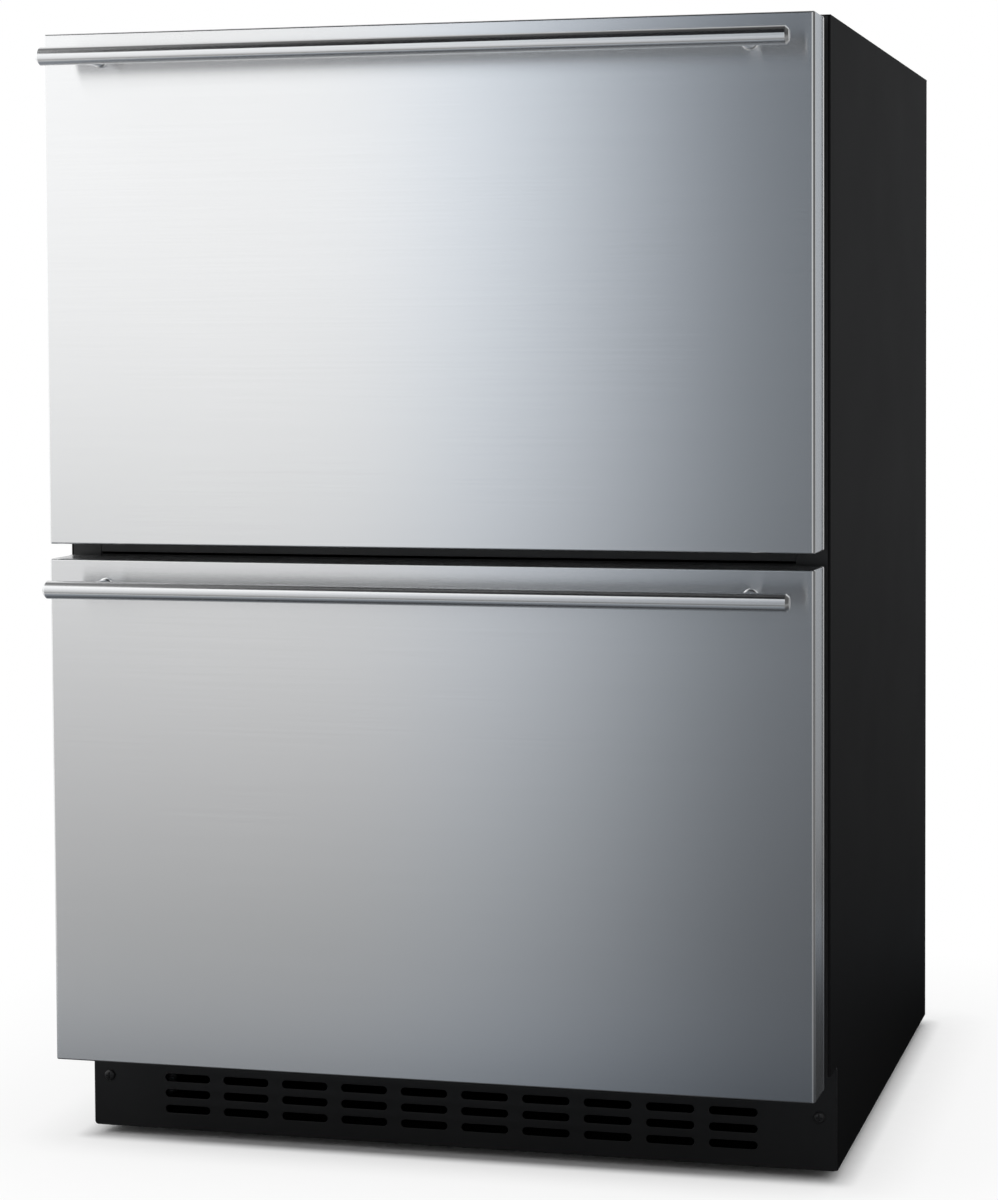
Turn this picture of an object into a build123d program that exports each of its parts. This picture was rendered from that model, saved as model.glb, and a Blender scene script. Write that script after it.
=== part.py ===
from build123d import *
import os
from collections import namedtuple
from math import cos, radians, sin, tan

# Undercounter drawer freezer: a steel cabinet with two pull-out drawers on telescopic slides.
# Millimetres. +Z is up, the drawers open towards -Y, +X is to the right seen from the front.
# The origin is on the floor, under the middle of the box that holds the whole object.

# Driving dimensions of the whole
cabinet_width = 600.0
cabinet_height = 870.0
floor_gap = 8.0
body_depth = 604.0
handle_reach = 43.0
gasket_gap = 10.0
toe_setback = 80.0
cut_past = 1.0

# Straight steps that stand for a rounded corner, and sides that stand for a round, on inner pieces
corner_steps = 3
slot_steps = 2
small_sides = 8
middle_sides = 12
large_sides = 24

# Driving dimensions of the drawer fronts
front_width = 594.0
front_depth = 38.0
front_top_drop = 2.0
front_gap = 10.5
front_low_z = 79.5
skin_sheet = 1.0
skin_edge_radius = 3.0
skin_lip = 12.0
panel_sheet = 1.5
dike_height = 20.5
dike_clearance = 10.0
dike_edge = 8.0

# Driving dimensions of the door seals
gasket_inset = 5.0
gasket_low_gap = 3.0
gasket_foot_width = 17.0
gasket_foot_depth = 1.5
gasket_neck_inset = 3.0
gasket_neck_width = 11.0
gasket_neck_depth = 2.5
gasket_strip_inset = 1.0
gasket_strip_width = 15.0
gasket_contact_gap = 0.3

# Driving dimensions of the cabinet shell
sheet = 1.0
flange_width = 25.0
rear_flange = 15.0
bend_radius = 1.5
top_edge_radius = 0.8
pan_sheet = 1.5
pan_flange = 12.0
box_floor_z = 88.0
wall_foam = 47.5
floor_foam = 44.5
top_foam = 43.5
rear_foam = 47.5
liner_sheet = 1.5
liner_radius = 10.0
bay_depth = 190.0
bay_height = 270.0
mullion_height = 55.5
mullion_depth = 50.0
mullion_radius = 4.0
bay_cover_dish = 11.0
bay_cover_rim = 15.0
bay_cover_side_rim = 30.0

# Driving dimensions of the slides, their brackets and the bins
slide_thickness = 12.7
slide_sheet = 1.2
rail_height = 45.0
middle_height = 35.2
runner_height = 25.4
runner_mouth = 7.5
slide_gap = 1.0
rail_lip = 2.7
glide_clearance = 0.3
rail_length = 415.0
middle_length = 400.0
runner_length = 405.0
bracket_sheet = 1.5
ledge_width = 12.0
tab_width = 30.0
slide_drop = 8.0
glide_margin = 1.0
bin_wall = 2.5
bin_back_clearance = 13.5
bin_draft = 2.0
bin_corner_radius = 22.0
bin_floor_gap = 9.0
rim_thickness = 3.0
rim_clearance = 8.0
bin_gap = 1.0
step_clearance = 10.0

# Driving dimensions of the handles
bar_diameter = 13.5
bar_length = 569.0
bar_chamfer = 2.4
bar_drop = 21.0
post_diameter = 11.0
post_spacing = 500.0
post_seat_depth = 2.8
handle_screw_diameter = 5.0
handle_screw_head = 9.0
handle_screw_head_height = 3.0
handle_screw_length = 18.0
fit_gap = 0.1

# Driving dimensions of the kick plate
kick_sheet = 1.2
kick_return = 14.0
slot_columns = 10
slot_rows = 4
slot_length = 37.6
slot_height = 6.3
slot_pitch_x = 49.0
slot_pitch_z = 12.6
slot_low_z = 24.0
kick_screw_inset = 13.5
kick_screw_z = 48.5
kick_screw_diameter = 4.0
kick_screw_head = 8.6
kick_screw_head_height = 2.2
kick_screw_length = 12.0

# Driving dimensions of the levelling legs
leg_inset = 45.0
leg_front_setback = 50.0
leg_rear_setback = 50.0
leg_stud_diameter = 10.0
leg_stud_length = 42.0
leg_pad_width = 30.0
leg_gap = 0.3
bush_width = 20.0
bush_height = 15.0
running_gap = 0.08

# Driving dimensions of the machine bay
compressor_side_gap = 62.0
compressor_radius = 72.0
compressor_height = 150.0
shoulder_height = 20.0
shoulder_slope = 25.0
crown_height = 14.0
crown_slope = 62.0
seam_rise = 82.0
seam_width = 4.0
foot_plate_width = 184.0
foot_plate_depth = 140.0
foot_plate_sheet = 3.0
mount_pitch_x = 160.0
mount_pitch_y = 110.0
grommet_width = 26.0
grommet_height = 22.0
mount_stud_diameter = 8.0
mount_nut_width = 13.0
mount_nut_height = 6.5
mount_stud_end = 3.0
relay_width = 42.0
relay_height = 62.0
relay_depth = 34.0
relay_overlap = 12.0
relay_rise = 8.0
relay_edge = 4.0
condenser_gap = 5.0
condenser_width = 204.0
condenser_low_z = 25.0
condenser_height = 190.0
condenser_thickness = 24.0
condenser_tubes = 6
condenser_fins = 8
header_width = 12.0
tube_thickness = 2.5
fin_thickness = 0.8
fin_inset = 2.0
condenser_setback = 16.0
shroud_sheet = 2.0
shroud_depth = 30.0
shroud_edge = 6.0
shroud_foot_width = 20.0
spider_width = 10.0
spider_sheet = 3.0
spider_overlap = 8.0
spider_seat = 3.0
big_fan_radius = 75.0
big_fan_clearance = 4.0
big_hub_radius = 18.0
big_hub_length = 18.0
big_blade_chord = 44.0
fan_blades = 5
fan_pitch = 24.0
fan_bore_end = 2.0
shaft_end_gap = 1.0
big_motor_size = 24.0
big_motor_length = 36.0
shaft_radius = 2.5
blade_thickness = 1.8
drain_pan_width = 170.0
drain_pan_depth = 140.0
drain_pan_height = 34.0
drain_pan_wall = 2.0
drain_pan_radius = 12.0
drain_tube_radius = 8.0
drain_tube_bore = 6.0
drain_tube_drop = 14.0
drain_tube_offset = 20.0
drain_tube_y_in = 26.0
drain_flange = 4.0
control_width = 40.0
control_depth = 110.0
control_height = 100.0
control_gap = 3.0
control_edge = 4.0
control_lid = 30.0
control_groove = 1.5
control_groove_depth = 1.0
louvre_rows = 7
louvre_columns = 2
louvre_low_gap = 45.0
louvre_length = 190.0
louvre_height = 6.0
louvre_pitch_z = 24.0
louvre_pitch_x = 240.0
hood_reach = 5.0
hood_rise = 4.0
hood_mouth = 2.0
gland_inset = 56.0
gland_rise = 30.0
gland_radius = 11.0
gland_neck = 9.0
gland_neck_reach = 4.0
gland_collar = 7.0
gland_bore = 4.0
line_radius = 4.0

# Driving dimensions of the evaporator and its air duct
duct_depth = 65.0
duct_width = 440.0
duct_wall = 2.0
duct_gap = 12.0
duct_edge = 12.0
outlet_rows = 7
outlet_pitch = 14.0
outlet_height = 6.0
return_slots = 8
return_pitch = 46.0
return_length = 32.0
return_height = 8.0
return_rise = 14.0
small_fan_drop = 134.0
small_fan_radius = 52.0
small_hub_radius = 14.0
small_hub_length = 16.0
small_blade_chord = 30.0
small_fan_gap = 13.0
small_motor_size = 22.0
small_motor_length = 24.0
evaporator_width = 320.0
evaporator_rise = 64.0
evaporator_fan_gap = 38.0
evaporator_sheet = 1.5
evaporator_depth = 34.0
channel_width = 9.0
channel_height = 2.5
channel_passes = 7
channel_side_margin = 22.0
channel_end_margin = 18.0
heater_drop = 25.0
heater_radius = 5.0
heater_length = 300.0
heater_holder = 16.0
heater_holder_sheet = 10.0

# Places that follow from the driving dimensions
half_width = cabinet_width / 2
face_y = handle_reach - (body_depth + handle_reach) / 2
front_back_y = face_y + front_depth
cabinet_front_y = front_back_y + gasket_gap
cabinet_back_y = face_y + body_depth
rear_panel_y = cabinet_back_y - 2 * sheet
kick_y = face_y + toe_setback
pan_top_z = floor_gap + pan_sheet
front_height = (cabinet_height - front_top_drop - front_low_z - front_gap) / 2
liner_half = half_width - sheet - wall_foam - liner_sheet
liner_floor_z = box_floor_z + sheet + floor_foam + liner_sheet
liner_top_z = cabinet_height - sheet - top_foam - liner_sheet
liner_back_y = rear_panel_y - rear_foam - liner_sheet
bay_front_y = cabinet_back_y - bay_depth
hump_front_y = bay_front_y - wall_foam
hump_top_z = bay_height + sheet + floor_foam
mullion_z = front_low_z + front_height + front_gap / 2
mullion_low_z = mullion_z - mullion_height / 2
mullion_high_z = mullion_z + mullion_height / 2
flange_inner_x = half_width - flange_width
dike_back_y = front_back_y + panel_sheet + dike_height
dike_half = liner_half - dike_clearance
slide_front_y = dike_back_y + bracket_sheet
bracket_outer_x = liner_half - slide_thickness
bracket_inner_x = bracket_outer_x - bracket_sheet
bin_half = bracket_inner_x - ledge_width - bin_gap
rim_half = bracket_inner_x - bin_gap
bin_front_y = dike_back_y + bracket_sheet + bin_gap
duct_front_y = liner_back_y - duct_depth
bin_back_y = duct_front_y - bin_back_clearance
bar_y = face_y - handle_reach + bar_diameter / 2
bay_wall_x = half_width - sheet - pan_sheet
bay_cover_y = rear_panel_y - bay_cover_dish
compressor_x = compressor_side_gap + foot_plate_width / 2 - bay_wall_x
compressor_y = (bay_front_y + sheet + bay_cover_y) / 2
drain_tube_x = compressor_x + drain_tube_offset
control_x = bay_wall_x - control_gap - control_width
condenser_x = control_x - condenser_gap - header_width - condenser_width / 2
grommet_top_z = pan_top_z + grommet_height
shell_low_z = grommet_top_z + foot_plate_sheet
shell_top_z = shell_low_z + compressor_height
seam_z = shell_low_z + seam_rise
condenser_y = bay_front_y + condenser_setback
condenser_back_y = condenser_y + condenser_thickness
big_fan_z = condenser_low_z + condenser_height / 2
shroud_back_y = condenser_back_y + shroud_depth
small_fan_z = liner_top_z - small_fan_drop
evaporator_low_z = hump_top_z + evaporator_rise
evaporator_high_z = small_fan_z - small_fan_radius - evaporator_fan_gap
heater_z = evaporator_low_z - heater_drop

Drawer = namedtuple("Drawer", "name front_z open_low_z open_high_z gasket_low_z stepped")
drawers = [
    Drawer("lower", front_low_z, liner_floor_z, mullion_low_z, box_floor_z + gasket_low_gap, True),
    Drawer("upper", front_low_z + front_height + front_gap, mullion_high_z, liner_top_z,
           front_low_z + front_height + front_gap + gasket_inset, False),
]


def block(x0, x1, y0, y1, z0, z1):
    """A box between two opposite corners."""
    middle = Pos((x0 + x1) / 2, (y0 + y1) / 2, (z0 + z1) / 2)
    return middle * Box(x1 - x0, y1 - y0, z1 - z0)


def rod_x(radius, x0, x1, y, z):
    """A round rod along X."""
    return Pos((x0 + x1) / 2, y, z) * Rot(0, 90, 0) * Cylinder(radius, x1 - x0)


def rod_y(radius, x, y0, y1, z):
    """A round rod along Y."""
    return Pos(x, (y0 + y1) / 2, z) * Rot(90, 0, 0) * Cylinder(radius, y1 - y0)


def rod_z(radius, x, y, z0, z1):
    """A round rod along Z."""
    return Pos(x, y, (z0 + z1) / 2) * Cylinder(radius, z1 - z0)


def side_cut(points, x0, x1):
    """A profile of (y, z) points pulled along X."""
    face = Plane.YZ.offset(x0) * Polygon(*points, align=None)
    return extrude(face, amount=x1 - x0, dir=(1, 0, 0))


def frame_y(x_half, z0, z1, width, y0, y1):
    """A flat rectangular frame that faces along Y."""
    outer = block(-x_half, x_half, y0, y1, z0, z1)
    return outer - block(-x_half + width, x_half - width, y0, y1, z0 + width, z1 - width)


def prism_z(sides, radius, x, y, z0, z1):
    """An upright many-sided prism, measured across its flats."""
    face = Plane.XY.offset(z0) * Pos(x, y) * RegularPolygon(radius, sides, major_radius=False)
    return extrude(face, amount=z1 - z0, dir=(0, 0, 1))


def prism_y(sides, radius, x, y0, y1, z):
    """A many-sided prism along Y, measured across its flats."""
    face = Plane.XZ.offset(-y0) * Pos(x, z) * RegularPolygon(radius, sides, major_radius=False)
    return extrude(face, amount=y1 - y0, dir=(0, 1, 0))


def rounded_points(half_x, half_y, radius, steps=corner_steps):
    """A rectangle whose corners are rounded in a few straight steps."""
    points = []
    for turn, (sx, sy) in enumerate(((1, 1), (-1, 1), (-1, -1), (1, -1))):
        for step in range(steps + 1):
            angle = radians(90 * turn + 90 * step / steps)
            points.append((sx * (half_x - radius) + radius * cos(angle),
                           sy * (half_y - radius) + radius * sin(angle)))
    return points


def fuse(pieces):
    """All pieces joined into one."""
    whole = pieces[0]
    for piece in pieces[1:]:
        whole = whole + piece
    return whole


def both_sides(make):
    """The same piece made for the left side and for the right side."""
    return [make(-1), make(1)]


# Cabinet shell


def side_panel(side):
    """A painted steel side with its front, toe and rear flanges turned inwards."""
    low_front_y = kick_y + kick_sheet
    outline = [
        (cabinet_front_y, box_floor_z),
        (cabinet_front_y, cabinet_height - sheet),
        (cabinet_back_y, cabinet_height - sheet),
        (cabinet_back_y, floor_gap),
        (low_front_y, floor_gap),
        (low_front_y, box_floor_z),
    ]
    outer, inner = side * half_width, side * (half_width - sheet)
    panel = side_cut(outline, min(outer, inner), max(outer, inner))

    def flange(width, y, z0, z1):
        edge = side * (half_width - width)
        return block(min(inner, edge), max(inner, edge), y, y + sheet, z0, z1)

    front = flange(flange_width, cabinet_front_y, box_floor_z, cabinet_height - sheet)
    toe = flange(flange_width, low_front_y, floor_gap, box_floor_z)
    rear = flange(rear_flange, cabinet_back_y - sheet, floor_gap, cabinet_height - sheet)
    screw_x = side * (half_width - kick_screw_inset)
    hole = prism_y(small_sides, kick_screw_diameter / 2 + fit_gap, screw_x, low_front_y - cut_past,
                   low_front_y + sheet + cut_past, kick_screw_z)
    panel = panel + front + toe + rear - hole
    corners = panel.edges().filter_by(Axis.Z).filter_by_position(Axis.X, outer - fit_gap, outer + fit_gap)
    folds = corners.sort_by(Axis.Y)
    return fillet([folds[0], folds[-1]], bend_radius)


def top_panel():
    """The top sheet with its front and rear edges turned down."""
    top = block(-half_width, half_width, cabinet_front_y, cabinet_back_y,
                cabinet_height - sheet, cabinet_height)
    front = block(-flange_inner_x, flange_inner_x, cabinet_front_y, cabinet_front_y + sheet,
                  cabinet_height - flange_width, cabinet_height - sheet)
    rear_x = half_width - rear_flange
    rear = block(-rear_x, rear_x, cabinet_back_y - sheet, cabinet_back_y,
                 cabinet_height - rear_flange, cabinet_height - sheet)
    top = top + front + rear
    upper_edges = top.edges().filter_by(Axis.X).filter_by_position(
        Axis.Z, cabinet_height - fit_gap, cabinet_height + fit_gap)
    return fillet(upper_edges, top_edge_radius)


def rear_panel():
    """The flat sheet behind the foam, above the machine bay."""
    inside = half_width - sheet
    return block(-inside, inside, rear_panel_y, rear_panel_y + sheet,
                 bay_height, cabinet_height - sheet)


def bottom_panel():
    """The stepped sheet under the foam: flat over the air space, then up and over the machine bay."""
    inside = half_width - sheet
    outline = [
        (cabinet_front_y, box_floor_z),
        (bay_front_y + sheet, box_floor_z),
        (bay_front_y + sheet, bay_height),
        (rear_panel_y, bay_height),
        (rear_panel_y, bay_height + sheet),
        (bay_front_y, bay_height + sheet),
        (bay_front_y, box_floor_z + sheet),
        (cabinet_front_y, box_floor_z + sheet),
    ]
    step = side_cut(outline, -inside, inside)
    for side in (-1, 1):
        edge = side * inside
        relief = side * flange_inner_x
        step -= block(min(edge, relief), max(edge, relief), cabinet_front_y,
                      cabinet_front_y + sheet, box_floor_z, box_floor_z + sheet)
    lip = block(-flange_inner_x, flange_inner_x, cabinet_front_y, cabinet_front_y + sheet,
                box_floor_z + sheet, box_floor_z + flange_width)
    return step + lip - drain_hole(bay_height - cut_past, bay_height + sheet + cut_past)


def liner_volume(grow):
    """The cold space, grown outwards by a wall thickness, open at the front."""
    outline = [
        (cabinet_front_y, liner_floor_z - grow),
        (hump_front_y - liner_sheet + grow, liner_floor_z - grow),
        (hump_front_y - liner_sheet + grow, hump_top_z + liner_sheet - grow),
        (liner_back_y + grow, hump_top_z + liner_sheet - grow),
        (liner_back_y + grow, liner_top_z + grow),
        (cabinet_front_y, liner_top_z + grow),
    ]
    x = liner_half + grow
    body = side_cut(outline, -x, x)
    along_x = body.edges().filter_by(Axis.X)
    inside = along_x.filter_by(lambda e: e.center().Y > cabinet_front_y + cut_past)
    outward = inside.filter_by(lambda e: not (e.center().Y < liner_back_y
                                              and abs(e.center().Z - hump_top_z) < 2 * liner_sheet))
    return fillet(outward, liner_radius + grow)


def leg_places():
    """(x, y) of the four levelling legs."""
    x = half_width - leg_inset
    return {
        "front_left": (-x, kick_y + leg_front_setback),
        "front_right": (x, kick_y + leg_front_setback),
        "rear_left": (-x, cabinet_back_y - leg_rear_setback),
        "rear_right": (x, cabinet_back_y - leg_rear_setback),
    }


def drain_hole(z0, z1):
    """The way through for the drain tube."""
    return prism_z(small_sides, drain_tube_radius + fit_gap, drain_tube_x,
                   liner_back_y - drain_tube_y_in, z0, z1)


def foam_insulation():
    """The foam between the shell and the liner."""
    inside = half_width - sheet
    outline = [
        (cabinet_front_y + sheet, box_floor_z + sheet),
        (cabinet_front_y + sheet, cabinet_height - sheet),
        (rear_panel_y, cabinet_height - sheet),
        (rear_panel_y, bay_height + sheet),
        (bay_front_y, bay_height + sheet),
        (bay_front_y, box_floor_z + sheet),
    ]
    foam = side_cut(outline, -inside, inside) - liner_volume(liner_sheet)
    return foam - drain_hole(bay_height, hump_top_z + liner_sheet)


def inner_liner():
    """The white moulded liner: a five-sided box with a hump over the machine bay and a front lip."""
    liner = liner_volume(liner_sheet) - liner_volume(0)
    lip = block(-flange_inner_x, flange_inner_x, cabinet_front_y, cabinet_front_y + sheet,
                box_floor_z + flange_width, cabinet_height - flange_width)
    lip -= block(-liner_half, liner_half, cabinet_front_y, cabinet_front_y + sheet,
                 liner_floor_z, liner_top_z)
    whole = liner + lip
    whole -= block(-flange_inner_x, flange_inner_x, cabinet_front_y, cabinet_front_y + sheet,
                   mullion_low_z, mullion_high_z)
    return whole - drain_hole(hump_top_z - cut_past, hump_top_z + 2 * liner_sheet)


def mullion():
    """The cross rail between the drawers: a cover plate between the side flanges, on a foamed beam."""
    plate = block(-flange_inner_x, flange_inner_x, cabinet_front_y, cabinet_front_y + sheet,
                  mullion_low_z, mullion_high_z)
    beam = block(-liner_half, liner_half, cabinet_front_y + sheet, cabinet_front_y + mullion_depth,
                 mullion_low_z, mullion_high_z)
    rear_edges = beam.edges().filter_by(Axis.X).sort_by(Axis.Y)[-2:]
    return plate + fillet(rear_edges, mullion_radius)


def base_pan():
    """The steel floor of the cabinet, with turned-up edges and a welded hexagon bush for each leg."""
    inside = half_width - sheet
    front_y = kick_y + kick_sheet + sheet
    pan = block(-inside, inside, front_y, rear_panel_y + sheet, floor_gap, pan_top_z)
    for side in (-1, 1):
        outer, inner = side * inside, side * (inside - pan_sheet)
        pan += block(min(outer, inner), max(outer, inner), front_y, rear_panel_y,
                     pan_top_z, pan_top_z + pan_flange)
    bush_top_z = pan_top_z + bush_height
    for x, y in leg_places().values():
        pan += prism_z(6, bush_width / 2, x, y, pan_top_z, bush_top_z)
        pan -= prism_z(middle_sides, leg_stud_diameter / 2 + running_gap, x, y, floor_gap - cut_past,
                       bush_top_z + cut_past)
    return pan


def levelling_leg(x, y):
    """A threaded stud with a hexagon pad that stands on the floor."""
    pad_height = floor_gap - leg_gap
    pad = prism_z(6, leg_pad_width / 2, x, y, 0, pad_height)
    return pad + prism_z(middle_sides, leg_stud_diameter / 2, x, y, pad_height,
                         pad_height + leg_stud_length)


def kick_plate():
    """The recessed grille: a sheet with turned-back ends and rows of round-ended slots."""
    plate = block(-half_width, half_width, kick_y, kick_y + kick_sheet, floor_gap, box_floor_z)
    side_edges = plate.edges().filter_by(Axis.Z).sort_by(Axis.Y)[:2]
    plate = chamfer(side_edges, kick_sheet / 2)
    top = block(-flange_inner_x, flange_inner_x, kick_y + kick_sheet, kick_y + kick_return,
                box_floor_z - kick_sheet, box_floor_z)
    outline = rounded_points(slot_length / 2, slot_height / 2, slot_height / 2, slot_steps)
    slot = extrude(Plane.XZ * Polygon(*outline, align=None), amount=2 * kick_sheet, both=True)
    slots = []
    for row in range(slot_rows):
        for column in range(slot_columns):
            x = (column - (slot_columns - 1) / 2) * slot_pitch_x
            slots.append(Pos(x, kick_y, slot_low_z + row * slot_pitch_z) * slot)
    plate = plate - slots
    for side in (-1, 1):
        screw_x = side * (half_width - kick_screw_inset)
        plate -= prism_y(small_sides, kick_screw_diameter / 2 + fit_gap, screw_x, kick_y - cut_past,
                         kick_y + kick_sheet + cut_past, kick_screw_z)
    return plate + top


def kick_screws():
    """The two pan-head screws of the kick plate."""
    def screw(side):
        x = side * (half_width - kick_screw_inset)
        head = prism_y(middle_sides, kick_screw_head / 2, x, kick_y - kick_screw_head_height, kick_y,
                       kick_screw_z)
        return head + prism_y(small_sides, kick_screw_diameter / 2, x, kick_y,
                              kick_y + kick_screw_length, kick_screw_z)

    return both_sides(screw)


# Machine bay


def bay_cover():
    """The louvred cover of the machine bay, dished inwards inside its flange."""
    inside = half_width - sheet
    dish_x = inside - bay_cover_side_rim
    low_z, high_z = pan_top_z, bay_height
    dish_low_z, dish_high_z = low_z + bay_cover_rim, high_z - bay_cover_rim
    rim = block(-inside, inside, rear_panel_y, rear_panel_y + sheet, low_z, high_z)
    dish = block(-dish_x, dish_x, bay_cover_y, rear_panel_y + sheet, dish_low_z, dish_high_z)
    hollow = block(-dish_x + sheet, dish_x - sheet, bay_cover_y + sheet, rear_panel_y + sheet,
                   dish_low_z + sheet, dish_high_z - sheet)
    slots = []
    hoods = []
    for row in range(louvre_rows):
        for column in range(louvre_columns):
            x = (column - (louvre_columns - 1) / 2) * louvre_pitch_x
            z = low_z + louvre_low_gap + row * louvre_pitch_z
            slots.append(block(x - louvre_length / 2, x + louvre_length / 2, bay_cover_y - cut_past,
                               bay_cover_y + sheet + cut_past, z, z + louvre_height))
            hoods.append(louvre_hood(x, z))
    gland_x, gland_z = gland_place()
    neck = prism_y(6, gland_neck, gland_x, bay_cover_y - cut_past, bay_cover_y + sheet + cut_past, gland_z)
    return rim + dish - hollow + hoods - slots - neck


def louvre_hood(x, z):
    """The hood pressed out over one louvre slot, open at the bottom and closed at its ends."""
    y = bay_cover_y + sheet
    half = louvre_length / 2
    top_z = z + louvre_height + hood_rise
    outer = [(y, top_z), (y, z), (y + hood_reach, z), (y + hood_reach, z + hood_mouth)]
    inner = [(y, top_z - 2 * sheet), (y, z), (y + hood_reach - sheet, z),
             (y + hood_reach - sheet, z + hood_mouth - sheet / 2)]
    return side_cut(outer, x - half - sheet, x + half + sheet) - side_cut(inner, x - half, x + half)


def gland_place():
    """(x, z) of the cord gland, near the lower corner behind the control box."""
    return half_width - gland_inset, pan_top_z + gland_rise


def cord_gland():
    """The hexagon bush in the bay cover where the supply cord enters."""
    x, z = gland_place()
    seat_y = bay_cover_y + sheet
    inner_y, outer_y = bay_cover_y - gland_neck_reach, seat_y + gland_collar
    neck = prism_y(6, gland_neck - fit_gap, x, inner_y, seat_y, z)
    collar = prism_y(6, gland_radius, x, seat_y, outer_y, z)
    return neck + collar - prism_y(middle_sides, gland_bore, x, inner_y - cut_past, outer_y + cut_past, z)


def mount_places():
    """(x, y) of the four compressor mounts."""
    return [
        (compressor_x + i * mount_pitch_x / 2, compressor_y + j * mount_pitch_y / 2)
        for i in (-1, 1) for j in (-1, 1)
    ]


def compressor():
    """The hermetic shell with its weld seam, on a foot plate with four ears."""
    x, y = compressor_x, compressor_y
    shoulder_z = shell_top_z - crown_height - shoulder_height
    shell = prism_z(large_sides, compressor_radius, x, y, shell_low_z, shoulder_z)
    rim = Plane.XY.offset(shoulder_z) * Pos(x, y) * RegularPolygon(compressor_radius, large_sides,
                                                                 major_radius=False)
    shoulder = extrude(rim, amount=shoulder_height, dir=(0, 0, 1), taper=shoulder_slope)
    crown_face = shoulder.faces().sort_by(Axis.Z)[-1]
    crown = extrude(crown_face, amount=crown_height, dir=(0, 0, 1), taper=crown_slope)
    seam = prism_z(large_sides, compressor_radius + seam_width, x, y, seam_z, seam_z + seam_width)
    outline = rounded_points(foot_plate_width / 2, foot_plate_depth / 2, grommet_width / 2)
    plate = Pos(x, y, grommet_top_z) * extrude(Polygon(*outline, align=None), amount=foot_plate_sheet,
                                               dir=(0, 0, 1))
    for mx, my in mount_places():
        plate -= prism_z(small_sides, mount_stud_diameter / 2 + fit_gap, mx, my,
                         grommet_top_z - cut_past, shell_low_z + cut_past)
    return shell + shoulder + crown + seam + plate


def compressor_grommets():
    """Four rubber bushes under the foot plate."""
    grommets = []
    for x, y in mount_places():
        body = prism_z(middle_sides, grommet_width / 2, x, y, pan_top_z, grommet_top_z)
        grommets.append(body - prism_z(small_sides, mount_stud_diameter / 2 + fit_gap, x, y,
                                       pan_top_z - cut_past, grommet_top_z + cut_past))
    return grommets


def compressor_studs():
    """Four studs of the base pan, each with its nut on the foot plate."""
    studs = []
    for x, y in mount_places():
        nut_top_z = shell_low_z + mount_nut_height
        stud = prism_z(small_sides, mount_stud_diameter / 2, x, y, pan_top_z, nut_top_z + mount_stud_end)
        studs.append(stud + prism_z(6, mount_nut_width / 2, x, y, shell_low_z, nut_top_z))
    return studs


def relay_cover():
    """The plastic cover over the compressor's terminals and start relay."""
    x0 = compressor_x + compressor_radius - relay_overlap
    z0 = shell_low_z + relay_rise
    z1 = z0 + relay_height
    cover = block(x0, x0 + relay_width, compressor_y - relay_depth / 2, compressor_y + relay_depth / 2,
                  z0, z1)
    cover = chamfer(cover.faces().sort_by(Axis.X)[-1].edges(), relay_edge)
    cover -= prism_z(large_sides, compressor_radius + fit_gap, compressor_x, compressor_y,
                     z0 - cut_past, z1 + cut_past)
    return cover - prism_z(large_sides, compressor_radius + seam_width + fit_gap, compressor_x,
                           compressor_y, seam_z - fit_gap, seam_z + seam_width + fit_gap)


def condenser():
    """Two header boxes, flat tubes between them and upright fins across the tubes."""
    x0 = condenser_x - condenser_width / 2
    x1 = condenser_x + condenser_width / 2
    y0, y1 = condenser_y, condenser_back_y
    top_z = condenser_low_z + condenser_height
    pieces = []
    for side, x in ((-1, x0), (1, x1)):
        outer = x + side * header_width
        pieces.append(block(min(x, outer), max(x, outer), y0, y1, pan_top_z, top_z))
    gap = (condenser_height - tube_thickness) / (condenser_tubes - 1)
    for row in range(condenser_tubes):
        z = condenser_low_z + row * gap
        pieces.append(block(x0, x1, y0, y1, z, z + tube_thickness))
    fin_pitch = condenser_width / (condenser_fins + 1)
    for fin in range(condenser_fins):
        x = x0 + (fin + 1) * fin_pitch
        pieces.append(block(x - fin_thickness / 2, x + fin_thickness / 2, y0 + fin_inset, y1 - fin_inset,
                            condenser_low_z, top_z))
    return fuse(pieces)


def fan(radius, hub_radius, hub_length, chord):
    """A moulded fan about local Z: a hub with a blind bore and pitched blades that widen outwards."""
    hub = extrude(RegularPolygon(hub_radius, middle_sides, major_radius=False),
                  amount=hub_length / 2, both=True)
    root_x = hub_radius * 0.7
    outline = [(root_x, -chord * 0.35), (radius * 0.75, -chord * 0.5), (radius * 0.97, -chord * 0.3),
               (radius * 0.97, chord * 0.35), (radius * 0.7, chord * 0.5), (root_x, chord * 0.3)]
    blade = extrude(Polygon(*outline, align=None), amount=blade_thickness / 2, both=True)
    whole = hub
    for number in range(fan_blades):
        whole += Rot(0, 0, 360 / fan_blades * number) * Rot(fan_pitch, 0, 0) * blade
    bore_depth = hub_length / 2 + fan_bore_end
    bore = Pos(0, 0, -hub_length / 2) * Cylinder(shaft_radius + running_gap, 2 * bore_depth)
    return whole - bore


def fan_places():
    """(x, y of the hub's middle, z) of the condenser fan and of the evaporator fan."""
    return {
        "condenser": (condenser_x, condenser_back_y + shroud_depth / 2, big_fan_z),
        "evaporator": (0.0, liner_back_y - small_motor_length - small_fan_gap, small_fan_z),
    }


def condenser_fan_blade():
    """The blade that draws air through the condenser."""
    x, y, z = fan_places()["condenser"]
    return Pos(x, y, z) * Rot(90, 0, 0) * fan(big_fan_radius, big_hub_radius, big_hub_length,
                                              big_blade_chord)


def evaporator_fan_blade():
    """The blade that blows cold air out of the duct."""
    x, y, z = fan_places()["evaporator"]
    return Pos(x, y, z) * Rot(90, 0, 0) * fan(small_fan_radius, small_hub_radius, small_hub_length,
                                              small_blade_chord)


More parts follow.
